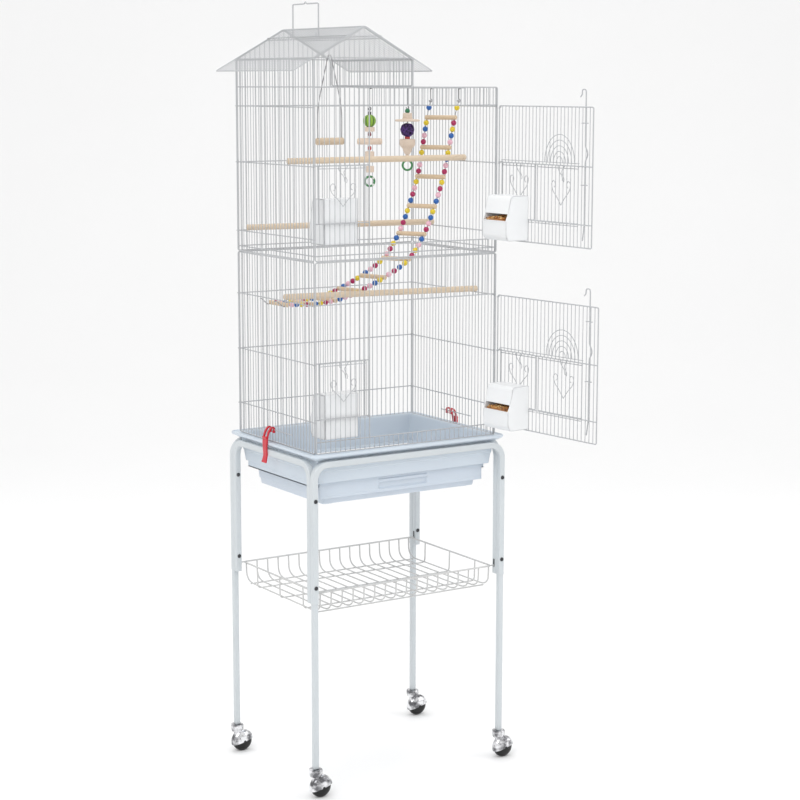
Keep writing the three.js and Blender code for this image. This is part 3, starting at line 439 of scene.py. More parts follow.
DEPTH_GLOW = {"Subsurface_Weight": 0.08, "Subsurface_Radius": (0.004, 0.005, 0.006)}
TUB_PLASTIC = moulded("tub_plastic", (0.60, 0.665, 0.73), (0.55, 0.615, 0.685), 0.30,
                      **DEPTH_GLOW)
DRAWER_PLASTIC = moulded("drawer_plastic", (0.58, 0.645, 0.715), (0.54, 0.60, 0.68), 0.32,
                         **DEPTH_GLOW)
MILKY_PLASTIC = moulded("milky_plastic", (0.93, 0.94, 0.945), (0.88, 0.895, 0.91), 0.24,
                        Alpha=0.86, IOR=1.45)
RED_PLASTIC = moulded("red_plastic", (0.60, 0.008, 0.025), (0.46, 0.006, 0.018), 0.30,
                      Coat_Weight=0.3, Coat_Roughness=0.15)
WHEEL_PLASTIC = moulded("wheel_plastic", (0.004, 0.004, 0.004), (0.008, 0.008, 0.008), 0.16,
                        IOR=1.36, Coat_Weight=0.2, Coat_Roughness=0.05)

# %% [markdown]
# Chrome and bright steel are mirrors under a film of smears, which roughen the metal and darken
# its colour. On the chrome the dark patches are turned up far past any smear: they are painted
# reflection, because a mirror in a white room needs some dark in it to read as metal. The bolts
# and one toy's hook are blackened steel.

# %% Bare metals
def metal(name, colour, shade, roughness, smear, contrast=1.0, scale=120):
    """A bare metal: roughness and colour follow smears; at high contrast the dark patches are
    painted reflection.
    """
    finish = Finish(name, Metallic=1.0)
    # the smear mask roughens the metal; at high contrast its dark colour patches are painted
    # reflection
    smear_and_painted_reflection = finish.node("ShaderNodeClamp", None,
                       {"Value": (finish.noise(scale, 2) - 0.5) * contrast + 0.45})
    finish.bump(finish.noise(1800, 2), 0.1, 0.00003)
    return finish.set(
        Base_Color=finish.mix(smear_and_painted_reflection, colour, shade),
        Roughness=roughness + smear * smear_and_painted_reflection,
    )


# the chrome's very dark second colour at contrast 4.5 is painted reflection of a dark room
CHROME = metal("chrome_plate", (0.86, 0.86, 0.88), (0.16, 0.16, 0.17), 0.04, 0.08, 4.5, 75)
BRIGHT_STEEL = metal("bright_steel", (0.46, 0.46, 0.47), (0.26, 0.26, 0.27), 0.18, 0.15)
BLACK_STEEL = metal("blackened_steel", (0.045, 0.045, 0.05), (0.09, 0.09, 0.095), 0.30, 0.20)

# %% [markdown]
# ## Wood
#
# The dowels are bare beech: long pale grain with darker pores. Grain is noise squeezed across
# the dowel and stretched along it, so each direction of dowel has its own stretch.

# %% Woods
def bare_wood(name, stretch, colour=(0.72, 0.60, 0.46), dark=(0.58, 0.46, 0.33)):
    """Bare wood: wide bands, fine streaks and pores, all stretched along the grain."""
    finish = Finish(name)
    bands = finish.noise(130, 3, stretch)
    streaks = finish.noise(700, 3, stretch)
    pores = finish.noise(1500, 2, stretch) > 0.62
    grain = 0.55 * bands + 0.45 * streaks
    finish.bump(grain - 0.6 * pores, 0.35, 0.00012)
    tone = finish.mix(grain, colour, dark)
    return finish.set(
        Base_Color=finish.mix(0.25 * pores, tone, (0.30, 0.19, 0.10)),
        Roughness=0.55 + 0.2 * streaks,
    )


PERCH_WOOD = bare_wood("perch_wood", (0.05, 1, 1))
SWING_WOOD = bare_wood("swing_wood", (0.06, 1, 1), (0.68, 0.57, 0.44), (0.50, 0.38, 0.26))
RUNG_WOOD = bare_wood("rung_wood", (0.5, 0.5, 1), (0.72, 0.57, 0.40), (0.58, 0.43, 0.28))
BLOCK_WOOD = bare_wood("block_wood", (1, 1, 0.12), (0.78, 0.66, 0.56), (0.64, 0.51, 0.40))


# %% [markdown]
# Beads and stained blocks are wood under a coloured lacquer. The colour is read from the mesh's
# own points, so one finish serves every bead, and the grain shows through as slightly darker
# streaks. Seeds use the same recipe with less gloss.

# %% Lacquered wood and seeds
def lacquer(name, roughness, show, bump, coat):
    """Paint from the mesh, darkened a little by the grain beneath and dulled where it is thin."""
    finish = Finish(name, Coat_Weight=coat, Coat_Roughness=0.12)
    paint = finish.paint()
    grain = finish.noise(500, 3, (1, 1, 0.3))
    dark = finish.node("ShaderNodeVectorMath", {"operation": "SCALE"}, {0: paint, "Scale": 0.55})
    finish.bump(grain, 0.25, bump)
    return finish.set(
        Base_Color=finish.mix(show * grain, paint, dark),
        Roughness=roughness + 0.15 * (grain - 0.5),
    )


BEAD_LACQUER = lacquer("bead_lacquer", 0.28, 0.45, 0.00008, 0.4)
STAINED_WOOD = lacquer("stained_wood", 0.55, 0.8, 0.00015, 0.0)
SEED_HUSK = lacquer("seed_husk", 0.50, 0.9, 0.00020, 0.0)
print(len(bpy.data.materials), "materials, the frame's own among them")

# %% [markdown]
# ## Wire panels
#
# Every wall, door and roof slope is a flat panel: thin uprights about 11.4 mm apart, thicker
# rails welded across their inner side, and a thicker edge wire all round. A `Panel` is the
# panel's own drawing board. It turns (along, up, out) into the cage's coordinates, so one set
# of functions draws all of them.

# %% Panels
PITCH = 11.4  # between the middles of two uprights
UPRIGHT = 1.65
RAIL = 2.3
EDGE = 2.6
HALF_EDGE = EDGE / 2
THIN = 1.6  # ornaments and guide loops
FRAME_WIRE = 1.8  # round the small hatches
POST = 3.6


class Panel:
    """A flat drawing board: a corner point and its along, up and out directions."""

    def __init__(self, origin, along, up, out):
        self.origin = np.asarray(origin, float)
        self.axes = np.array([along, up, out], float)

    def at(self, along, up, out=0.0):
        """The cage point for board coordinates, which may be arrays."""
        board = np.stack(np.broadcast_arrays(along, up, out), -1).astype(float)
        return self.origin + board @ self.axes

    def bar(self, start, end, up, out=0.0, diameter=RAIL):
        """A straight wire along the board at one height."""
        return rods(self.at(start, up, out), self.at(end, up, out), diameter)

    def loop(self, corners, diameter=EDGE, out=0.0, radius=4.0):
        """An edge wire round a polygon, its corners rounded, ending where it began."""
        corners = np.asarray(corners, float)
        middle = (corners[0] + corners[-1]) / 2
        path = filleted(np.concatenate([[middle], corners, [middle]]), radius)[:-1]
        return bent_wire(self.at(path[:, 0], path[:, 1], out), diameter, closed=True)

    def wire(self, path, out=0.0, diameter=UPRIGHT):
        """A bent wire through (along, up) points."""
        path = np.asarray(path, float)
        return bent_wire(self.at(path[:, 0], path[:, 1], out), diameter)


def spaced(low, high, pitch=PITCH):
    """Even places between two edges, as near to the pitch as fits, the edges left out."""
    count = max(2, round((high - low) / pitch))
    return np.linspace(low, high, count + 1)[1:-1]


def uprights(panel, places, low, high, openings=(), diameter=UPRIGHT, out=0.0):
    """Upright wires from low to high, cut where an opening (left, right, low, high) is."""
    places = np.asarray(places, float)
    low, high = np.broadcast_to(low, places.shape), np.broadcast_to(high, places.shape)
    spans = [(places, low, high)]
    for left, right, bottom, top in openings:
        cut = []
        for at, start, end in spans:
            crossed = (at > left) & (at < right) & (start < bottom) & (end > top)
            cut.append((at[~crossed], start[~crossed], end[~crossed]))
            cut.append((at[crossed], start[crossed], np.full(crossed.sum(), bottom)))
            cut.append((at[crossed], np.full(crossed.sum(), top), end[crossed]))
        spans = cut
    at, start, end = (np.concatenate(parts) for parts in zip(*spans))
    return rods(panel.at(at, start, out), panel.at(at, end, out), diameter, 7)


def rectangle(left, right, low, high):
    """The four corners of an upright rectangle on a board."""
    return [(left, low), (right, low), (right, high), (left, high)]


BEHIND = -(UPRIGHT + RAIL) / 2
print("uprights across the front:", len(spaced(-HALF_WIDTH, HALF_WIDTH)))

# %% [markdown]
# ## The lower section
#
# Four panels, hooked at the corners. The front one has the doorway and, in the fixed strip at
# its left, the opening of a feeder hatch. The rails sit behind the uprights so that the
# outside stays smooth.

# %% Lower walls
DOOR_HEIGHT = 273.0
DOOR_RAILS = (44.0, 160.0)
STRIP = 128.0
DOOR_BOTTOM = {level: edges(f"{level}_door")[0][2] for level in ("upper", "lower")}
STRIP_OPENING = (
    edges("lower_strip_hatch")[0][0] + 2.4, edges("lower_strip_hatch")[1][0] - 2.4,
)
LOWER_RAILS = CAGE_BOTTOM + np.array([63.0, 178.0, 294.0])
UPPER_RAILS = UPPER_BOTTOM + np.array([43.0, 184.0, 298.0])
JUNCTION_RAIL = UPPER_BOTTOM + 11

FRONT = Panel([0, -HALF_DEPTH + UPRIGHT / 2, 0], (1, 0, 0), (0, 0, 1), (0, -1, 0))
BACK = Panel([0, HALF_DEPTH - UPRIGHT / 2, 0], (-1, 0, 0), (0, 0, 1), (0, 1, 0))
LEFT = Panel([-HALF_WIDTH + UPRIGHT / 2, 0, 0], (0, -1, 0), (0, 0, 1), (-1, 0, 0))
RIGHT = Panel([HALF_WIDTH - UPRIGHT / 2, 0, 0], (0, 1, 0), (0, 0, 1), (1, 0, 0))
SIDE = edges("lower_left_wall")[1][1]


def front_openings(level):
    """The doorway and the strip's hatch opening, as (left, right, low, high)."""
    bottom = DOOR_BOTTOM[level]
    low, high = (bottom + rail for rail in DOOR_RAILS)
    return [
        (-HALF_WIDTH + STRIP - POST / 2, HALF_WIDTH - POST / 2, bottom + 1, bottom + DOOR_HEIGHT),
        (*STRIP_OPENING, low + POST / 2, high - POST / 2),
    ]


def front_frames(level):
    """The rails and posts round the doorway and the strip's hatch opening."""
    doorway, hatch = front_openings(level)
    left, right, low, high = doorway
    strip = -HALF_WIDTH + HALF_EDGE
    wires = [FRONT.bar(strip, right, height, BEHIND) for height in (low, high)]
    wires += [FRONT.bar(strip, left, height, BEHIND) for height in hatch[2:]]
    posts = np.array([left, hatch[0], hatch[1]])
    wires.append(rods(FRONT.at(posts, [low, hatch[2], hatch[2]], BEHIND),
                      FRONT.at(posts, [high, hatch[3], hatch[3]], BEHIND), EDGE))
    return wires


def corner_rings(panel, half, heights):
    """A rail's end is bent round the corner post: a small closed ring at each end."""
    angle = np.linspace(0, 2 * np.pi, 14, endpoint=False)
    radius, inset, depth = 2.9, 1.2, 1.0
    return [
        bent_wire(panel.at(side * (half - inset) + radius * np.cos(angle), height,
                           radius * np.sin(angle) - depth), 1.8, closed=True, sides=6)
        for side in (-1, 1) for height in heights
    ]


def plain_wall(panel, half, low, high, rails):
    """Edge wire, uprights and rails of a panel without openings."""
    reach = half - HALF_EDGE
    return [
        panel.loop(rectangle(-reach, reach, low + HALF_EDGE, high - HALF_EDGE)),
        uprights(panel, spaced(-half, half), low + HALF_EDGE, high - HALF_EDGE),
        *[panel.bar(-reach, reach, height, BEHIND) for height in rails],
        *corner_rings(panel, half, rails),
    ]


def cage_piece(name, surfaces, body="root", replaces=None):
    """A piece in the cage's enamel that stands for the CAD node of a like name."""
    return piece(name + "_wires", surfaces, WIRE_ENAMEL, body, "cage_enamel",
                 (replaces or name,))


REACH = HALF_WIDTH - HALF_EDGE  # from the centre to the middle of the edge wire
cage_piece("lower_front_wall", [
    FRONT.loop(rectangle(-REACH, REACH, CAGE_BOTTOM + HALF_EDGE, LOWER_TOP - HALF_EDGE)),
    uprights(FRONT, spaced(-HALF_WIDTH, HALF_WIDTH), CAGE_BOTTOM + HALF_EDGE,
             LOWER_TOP - HALF_EDGE, front_openings("lower")),
    *front_frames("lower"),
])
for name, board, half in (("back", BACK, HALF_WIDTH), ("left", LEFT, SIDE),
                          ("right", RIGHT, SIDE)):
    cage_piece(f"lower_{name}_wall", plain_wall(board, half, CAGE_BOTTOM, LOWER_TOP, LOWER_RAILS))

# %% [markdown]
# ## The upper section and its gables
#
# The upper front and back rise over the tower into a gable. The uprights simply run up to the
# roofline, so their upper ends are a function of where they stand.

# %% Upper walls
ROOF_SLOPE = math.atan2(RIDGE_Z - EAVES_Z, EAVES_X - RIDGE_X)


def roofline(x):
    """Height of the gable's top edge: it falls away from the ridge at the roof's slope."""
    below_ridge = 3.5
    return RIDGE_Z - below_ridge - np.abs(x - RIDGE_X) * math.tan(ROOF_SLOPE)


def gabled_wall(panel, mirror, openings, extra):
    """A front or back of the upper section; mirror is -1 where along runs against X."""
    bottom, flat_edge = UPPER_BOTTOM + HALF_EDGE, FLAT_TOP - HALF_EDGE
    tower_edge = TOWER_RIGHT - HALF_EDGE
    corners = np.array([
        (-REACH, bottom), (REACH, bottom), (REACH, flat_edge), (tower_edge, flat_edge),
        (tower_edge, roofline(TOWER_RIGHT)), (RIDGE_X, roofline(RIDGE_X)),
        (-REACH, roofline(-HALF_WIDTH)),
    ]) * (mirror, 1)
    tower = spaced(-HALF_WIDTH, TOWER_RIGHT)
    flat = spaced(TOWER_RIGHT, HALF_WIDTH)
    return [
        panel.loop(corners),
        uprights(panel, mirror * tower, bottom, roofline(tower), openings),
        uprights(panel, mirror * flat, bottom, flat_edge, openings),
        panel.bar(-REACH, REACH, JUNCTION_RAIL, BEHIND),
        *[panel.bar(-mirror * REACH, mirror * tower_edge, height, BEHIND)
          for height in (flat_edge, TOWER_TOP)],
        *extra,
    ]


cage_piece("upper_front_wall", gabled_wall(
    FRONT, 1, front_openings("upper"), front_frames("upper")))
cage_piece("upper_back_wall", gabled_wall(BACK, -1, (), [
    *[BACK.bar(-REACH, REACH, height, BEHIND) for height in UPPER_RAILS],
    *corner_rings(BACK, HALF_WIDTH, UPPER_RAILS),
]))
SIDE_RAILS = (JUNCTION_RAIL, *UPPER_RAILS)
cage_piece("upper_left_wall", plain_wall(LEFT, SIDE, UPPER_BOTTOM, TOWER_TOP, SIDE_RAILS))
cage_piece("upper_right_wall", plain_wall(RIGHT, SIDE, UPPER_BOTTOM, FLAT_TOP, SIDE_RAILS))

# %% [markdown]
# ## The roof
#
# Two slopes lie on the tower and reach past it as eaves. Their wires run down the slope, and
# pairs of rails carry them at mid-slope and over the walls. The flat top beside the tower is
# one more panel, laid level.

# %% Roof panels
TOWER_SIDE = Panel([TOWER_RIGHT - UPRIGHT / 2, 0, 0], (0, 1, 0), (0, 0, 1), (1, 0, 0))
cage_piece("tower_right_wall", plain_wall(TOWER_SIDE, SIDE, FLAT_TOP, TOWER_TOP, ()))

TOP = Panel([0, 0, FLAT_TOP - UPRIGHT / 2], (1, 0, 0), (0, 1, 0), (0, 0, 1))
top_left, top_right = TOWER_RIGHT - HALF_EDGE, edges("flat_top")[1][0] - HALF_EDGE
top_depth = SIDE - HALF_EDGE
cage_piece("flat_top", [
    TOP.loop(rectangle(top_left, top_right, -top_depth, top_depth), out=-0.5),
    uprights(TOP, spaced(top_left, top_right), -top_depth, top_depth),
    *[TOP.bar(top_left, top_right, y, BEHIND) for y in (-52, 52)],
])

SLOPE_LENGTH = (EAVES_X - RIDGE_X) / math.cos(ROOF_SLOPE) - 1.5
SLOPE_START = 3.0
MID_SLOPE = 39.5 / math.cos(ROOF_SLOPE)
WALL_LINE = (TOWER_RIGHT - RIDGE_X) / math.cos(ROOF_SLOPE)


def roof_slope(side):
    """One slope: side is 1 for the right and -1 for the left."""
    down = np.array([side * math.cos(ROOF_SLOPE), 0, -math.sin(ROOF_SLOPE)])
    out = np.array([side * math.sin(ROOF_SLOPE), 0, math.cos(ROOF_SLOPE)])
    panel = Panel(np.array([RIDGE_X, 0, RIDGE_Z]) - out, (0, 1, 0), down, out)
    half = HALF_DEPTH - HALF_EDGE
    rails = [
        (MID_SLOPE - 1.4, RAIL / 2 + 0.9), (MID_SLOPE + 1.4, -RAIL / 2 - 0.9),
        (WALL_LINE - 2.5, BEHIND), (WALL_LINE + 2.5, BEHIND),
    ]
    return [
        panel.loop(rectangle(-half, half, SLOPE_START, SLOPE_LENGTH)),
        uprights(panel, spaced(-half, half), SLOPE_START, SLOPE_LENGTH),
        *[panel.bar(-half, half, down_by, lift) for down_by, lift in rails],
    ]


cage_piece("roof_right_slope", roof_slope(1))
cage_piece("roof_left_slope", roof_slope(-1))

# %% [markdown]
# The carry handle is one thicker wire. Each foot is rolled into an eye round the mid-slope rail,
# and the grip has a small bump in its middle that stops a hook from sliding. Only half of its
# path is drawn; the other half is the same points mirrored.

# %% Carry handle
HANDLE_X, _, HANDLE_Z = pivot("carry_handle_hinge")
HANDLE_TOP = edges("carry_handle")[1][2] - 4.0  # the bump rises above this
HANDLE_HALF = edges("carry_handle")[1][1] - 2.0


def handle_path():
    """Half-circle eye, straight leg, grip with a bump, and the mirror image of the same."""
    turn, eye_radius = np.linspace(-1.4 * np.pi, 0, 12), 3.2
    eye = np.stack([np.full(12, HANDLE_HALF), HANDLE_Z + eye_radius * np.sin(turn),
                    eye_radius * np.cos(turn) - eye_radius], -1)
    leg = [(HANDLE_HALF, HANDLE_Z + 8, 0), (HANDLE_HALF, HANDLE_TOP, 0), (9, HANDLE_TOP, 0),
           (4.5, HANDLE_TOP + 0.3, 0), (0, HANDLE_TOP + 3.6, 0)]
    half = np.concatenate([eye, filleted(leg, 3.5, 4)])
    whole = np.concatenate([half, half[-2::-1] * (-1, 1, 1)])
    return np.stack([HANDLE_X + whole[:, 2], whole[:, 0], whole[:, 1]], -1)


cage_piece("carry_handle", bent_wire(handle_path(), 3.0), body="carry_handle")

# %% [markdown]
# ## Doors
#
# A big door is a panel that hangs on the right edge of the doorway, and its board starts at the
# hinge line. The angle at which it stands is read from its joint. Two smaller grilles slide up
# in front of it, each with a bent-wire ornament.

# %% Door boards
DOOR_WIDTH = 302.7
DOOR_EDGE = 3.0
FEEDER_HATCH = (12.0, 116.0)
NEST_HATCH = (127.4, 253.4)
HATCH_LAP = 2.4  # by how much a hatch covers the edge of its opening
HATCH_OUT = 2.4
ORNAMENT_OUT = HATCH_OUT + 1.7
ON_DOOR = 0.5  # how far in front of the uprights' middle the door's ornaments lie


def door_board(level):
    """The door's board at rest: along runs from the hinge to the free edge."""
    joint = JOINTS[f"{level}_door_hinge"]
    opened = -math.radians(joint["range_deg"][0])
    along = np.array([-math.cos(opened), -math.sin(opened), 0])
    out = np.array([math.sin(opened), -math.cos(opened), 0])
    hinge = pivot(f"{level}_door_hinge")
    origin = np.array([hinge[0], hinge[1], DOOR_BOTTOM[level]]) + DOOR_EDGE * along
    return Panel(origin, along, (0, 0, 1), out)


def spiral_tip(start, side):
    """The curl at the top of an ornament: points that wind inwards from a start."""
    turn = np.linspace(0, 1.45 * np.pi, 9)[1:]
    radius = np.linspace(7.0, 3.2, 8)
    centre = np.array(start) + (side * 7.0, 0)
    return centre + np.stack([-side * radius * np.cos(turn), radius * 1.35 * np.sin(turn)], -1)


def tulip(panel, centre, bottom, half, height, out):
    """Two mirrored wires that rise from one point, spread, and curl inwards at the top."""
    wires = []
    for side in (-1, 1):
        stem = [(0, 0), (-side * half * 0.42, height * 0.30), (-side * half * 0.86, height * 0.56),
                (-side * half, height * 0.78)]
        curl = spiral_tip(stem[-1], side)
        path = smooth_path(np.concatenate([stem, curl]), 4) + (centre, bottom)
        wires.append(panel.wire(path, out, THIN))
    return wires


def wavy_stems(panel, centre, top, out):
    """Two short wires that leave the rail apart, wave, and meet above the ornament."""
    left = [(-11, 0), (-12, -6), (-7, -14), (0, -21), (2, -31)]
    right = [(9, 0), (5, -6), (0, -12), (2, -19), (7, -27), (6, -33)]
    return [panel.wire(smooth_path(np.array(path, float) + (centre, top), 4), out, 1.5)
            for path in (left, right)]


def hatch_grille(panel, left, right, low, high, out, ornaments):
    """A small door: a frame wire, its own uprights and a cross wire to lift it by."""
    return [
        panel.loop(rectangle(left, right, low, high), FRAME_WIRE, out, 3),
        uprights(panel, spaced(left, right), low, high, out=out),
        panel.bar(left, right, high - 5, out + 0.3, FRAME_WIRE),
        *ornaments,
    ]


def arches(panel, centre, base):
    """Concentric half-ellipses above the nest hatch, all standing on its rail."""
    angle = np.linspace(0, np.pi, 21)
    sizes = [(47, 55), (38, 44), (28.5, 33), (19, 22), (9.5, 12)]
    return [panel.wire(np.stack([centre + half * np.cos(angle), base + rise * np.sin(angle)], -1),
                       ON_DOOR, THIN) for half, rise in sizes]


print("a tulip has", len(tulip(FRONT, 0, 0, 30, 50, 0)), "wires")

# %% [markdown]
# Each door is drawn on its own board, so the same lines make the upper and the lower one. Its
# frame has kinks where it grips the hinge post, and two small loops guide the latch rod.

# %% Big doors
LATCH_AT = DOOR_WIDTH - 31
LOW_RAIL, HIGH_RAIL = DOOR_RAILS
ARCH_CENTRE, ARCH_FOOT = 198.0, HIGH_RAIL + 3.2
TOP_EDGE = DOOR_HEIGHT - HALF_EDGE


def hinge_kink(board, height):
    """The end of a cross wire, bent down to grip the hinge post."""
    path = [(-1.5, height - 4.5), (3.0, height - 4.5), (7.5, height), (14, height)]
    return board.wire(filleted(path, 2.5), 0.0, RAIL)


def latch_guide(board, height):
    """A loop for the latch rod: a short bar on two stubs that stand out from the door."""
    stubs = [rods(board.at(LATCH_AT + side * 6, height, 0),
                  board.at(LATCH_AT + side * 6, height, 7.4), FRAME_WIRE) for side in (-1, 1)]
    return [board.bar(LATCH_AT - 6, LATCH_AT + 6, height, 6.9, FRAME_WIRE), *stubs]


for level in ("upper", "lower"):
    board = door_board(level)
    openings = [(near, far, LOW_RAIL + POST / 2, HIGH_RAIL - POST / 2)
                for near, far in (FEEDER_HATCH, NEST_HATCH)]
    across = (HALF_EDGE, DOOR_WIDTH - HALF_EDGE)
    cage_piece(f"{level}_door", [
        board.loop(rectangle(*across, HALF_EDGE, TOP_EDGE)),
        uprights(board, spaced(0, DOOR_WIDTH), HALF_EDGE, TOP_EDGE, openings),
        *[board.bar(*across, height, BEHIND) for height in openings[0][2:]],
        board.bar(8, NEST_HATCH[1] + 6, ARCH_FOOT, ON_DOOR, THIN),
        *[board.bar(near - 2, far + 2, LOW_RAIL - 2.5, ON_DOOR, THIN)
          for near, far in (FEEDER_HATCH, NEST_HATCH)],
        *arches(board, ARCH_CENTRE, ARCH_FOOT),
        *[hinge_kink(board, height) for height in (TOP_EDGE, HIGH_RAIL)],
        *[wire for height in (DOOR_HEIGHT - 32, 122.0) for wire in latch_guide(board, height)],
    ], body=f"{level}_door")

# %% [markdown]
# The hatches slide up in front of their door. A latch rod is one bent wire: a hook to lift it by
# at the top, a kink that rests on a guide, and a foot that drops behind the doorway's post.

# %% Door hatches and latch rods
HATCHES = {  # opening, ornament's middle, its drop below the rail, its half width
    "feeder": (FEEDER_HATCH, 64.0, 74.0, 30.0),
    "nest": (NEST_HATCH, 199.5, 80.0, 29.5),
}
HATCH_LOW, HATCH_HIGH = LOW_RAIL + POST - HATCH_LAP, HIGH_RAIL - POST + HATCH_LAP
HATCH_INSET = 1.1  # from a hatch's outside to the middle of its frame wire
ROD_OUT = 5.4
LATCH = filleted([
    (LATCH_AT - 17, DOOR_HEIGHT + 18), (LATCH_AT - 12, DOOR_HEIGHT + 22),
    (LATCH_AT - 12, DOOR_HEIGHT + 32.5), (LATCH_AT, DOOR_HEIGHT + 32.5),
    (LATCH_AT, 196), (LATCH_AT + 7, 186), (LATCH_AT + 7, 178), (LATCH_AT, 168),
    (LATCH_AT, 42), (LATCH_AT - 5, 14.5),
], 5.5, 4)
for level in ("upper", "lower"):
    board = door_board(level)
    for kind, ((near, far), centre, drop, half) in HATCHES.items():
        ornaments = tulip(board, centre, HIGH_RAIL - drop, half, 50.0, ORNAMENT_OUT)
        ornaments += wavy_stems(board, centre + 2, HATCH_HIGH, ORNAMENT_OUT)
        name = f"{level}_door_{kind}_hatch"
        cage_piece(name, hatch_grille(
            board, near - HATCH_LAP + HATCH_INSET, far + HATCH_LAP - HATCH_INSET,
            HATCH_LOW + HATCH_INSET, HATCH_HIGH - HATCH_INSET, HATCH_OUT, ornaments,
        ), body=name)
    cage_piece(f"{level}_latch_rod", board.wire(LATCH, ROD_OUT, 2.6), body=f"{level}_latch_rod")

# %% [markdown]
# The fixed strip beside each doorway has a hatch of its own, a little narrower, that slides up
# to reach the feeder behind it.

# %% Strip hatches
for level in ("upper", "lower"):
    low, high = edges(f"{level}_strip_hatch")
    middle = (low[0] + high[0]) / 2
    ornaments = tulip(FRONT, middle, low[2] + 34, 29, 46, ORNAMENT_OUT)
    ornaments += wavy_stems(FRONT, middle + 2, high[2] - 1, ORNAMENT_OUT)
    cage_piece(f"{level}_strip_hatch", hatch_grille(
        FRONT, low[0] + HATCH_INSET, high[0] - HATCH_INSET, low[2] + HATCH_INSET,
        high[2] - HATCH_INSET, HATCH_OUT, ornaments,
    ), body=f"{level}_strip_hatch")

# %% [markdown]
# ## Turned and lofted shapes
#
# Beads, perches, wheels and bolts are all turned: a profile of radius against length, spun
# round an axis. Tubs and trays are lofted: a profile of inset against height, carried round a
# rectangle with rounded corners. Both are one grid of points with its seams closed.

# %% Turning
def turned(profile, start, direction, sides=16):
    """A profile of (along, radius) spun round an axis; its two ends must have no radius.

    Each ring is the axis point at that length plus the radius times a circle across the axis.
    """
    profile = np.asarray(profile, float)
    direction = np.asarray(direction, float) / np.linalg.norm(direction)
    helper = np.eye(3)[np.argmin(np.abs(direction))]
    side = np.cross(direction, helper)
    side /= np.linalg.norm(side)
    other = np.cross(direction, side)
    angle = np.linspace(0, 2 * np.pi, sides, endpoint=False)
    ring = np.cos(angle)[:, None] * side + np.sin(angle)[:, None] * other
    inner = profile[1:-1]
    points = (np.asarray(start, float) + inner[:, None, :1] * direction
              + inner[:, None, 1:] * ring[None])
    tips = np.asarray(start, float) + profile[[0, -1], :1] * direction
    body = grid_faces(len(inner), sides, wrap_columns=True)[:, ::-1]
    near, far = len(inner) * sides, len(inner) * sides + 1
    first = np.arange(sides)
    following = np.roll(first, -1)
    last = first + (len(inner) - 1) * sides
    fan = [np.stack([np.full(sides, near), following, first], -1),
           np.stack([np.full(sides, far), last, np.roll(last, -1)], -1)]
    return Surface(np.concatenate([points.reshape(-1, 3), tips]), [body, *fan])


def ball(centre, radius, sides=12, rows=7, direction=(0, 0, 1), stretch=1.0):
    """A sphere or egg as a turned half-circle."""
    turn = np.linspace(0, np.pi, rows + 2)
    profile = np.stack([-radius * stretch * np.cos(turn), radius * np.sin(turn)], -1)
    profile[[0, -1], 1] = 0
    return turned(profile, centre, direction, sides)


def dowel(start, end, radius, sides=16, chamfer=1.0, grooves=()):
    """A rod with chamfered ends and shallow grooves at some distances along it."""
    start, end = np.asarray(start, float), np.asarray(end, float)
    length = np.linalg.norm(end - start)
    profile = [(0, 0), (0, radius - chamfer), (chamfer, radius)]
    for groove in grooves:
        profile += [(groove - 1.4, radius), (groove - 0.7, radius * 0.86),
                    (groove + 0.7, radius * 0.86), (groove + 1.4, radius)]
    profile += [(length - chamfer, radius), (length, radius - chamfer), (length, 0)]
    return turned(profile, start, end - start, sides)


print("a bead has", len(ball((0, 0, 0), 5).points), "points")

# %% Lofting
def rounded_rectangle(half_x, half_y, radius, per_corner=6):
    """Points round a rectangle with quarter-circle corners, anticlockwise from the right."""
    angle = np.linspace(0, np.pi / 2, per_corner)
    corner = np.stack([np.cos(angle), np.sin(angle)], -1) * radius
    turns = [((1, 1), corner), ((-1, 1), corner[:, ::-1] * (-1, 1)),
             ((-1, -1), -corner), ((1, -1), corner[:, ::-1] * (1, -1))]
    return np.concatenate([
        turn + np.array([sx * (half_x - radius), sy * (half_y - radius)])
        for (sx, sy), turn in turns
    ])


def lofted(profile, half_x, half_y, radius, closed=True, per_corner=6):
    """A profile of (inset, height) carried round a rounded rectangle.

    Each profile point gives one loop: the rectangle drawn in by the inset, at that height. A
    closed profile makes a ring; an open one is capped by a flat face at each end.
    """
    profile = np.asarray(profile, float)
    loops = [np.concatenate([
        rounded_rectangle(half_x - inset, half_y - inset, max(radius - inset, 2.0), per_corner),
        np.full((4 * per_corner, 1), height),
    ], axis=1) for inset, height in profile]
    count = 4 * per_corner
    faces = [grid_faces(len(loops), count, wrap_rows=closed, wrap_columns=True)]
    if not closed:
        first = np.arange(count)
        faces += [first[None], (first[::-1] + (len(loops) - 1) * count)[None]]
    return Surface(np.concatenate(loops), faces)


def extruded(outline, start, end, plane):
    """A flat outline (k, 2) between two depths; `plane` turns (u, v, depth) into a point."""
    outline = np.asarray(outline, float)
    count = len(outline)
    ends = [np.column_stack([outline, np.full(count, depth)]) for depth in (start, end)]
    around = grid_faces(2, count, wrap_columns=True)
    cap = np.arange(count)
    surface = Surface(plane(np.concatenate(ends)), [around, cap[None], (cap[::-1] + count)[None]])
    return outward(surface)


def outward(surface):
    """The same surface with its faces turned if it encloses a negative volume.

    The volume is the sum over faces of the triple product of each fan of corners.
    """
    volume = 0.0
    for face in surface.faces:
        corner = surface.points[face]
        for k in range(1, face.shape[1] - 1):
            volume += np.einsum("ij,ij->", corner[:, 0],
                                np.cross(corner[:, k], corner[:, k + 1]))
    if volume > 0:
        return surface
    return Surface(surface.points, [face[:, ::-1] for face in surface.faces], surface.paint)


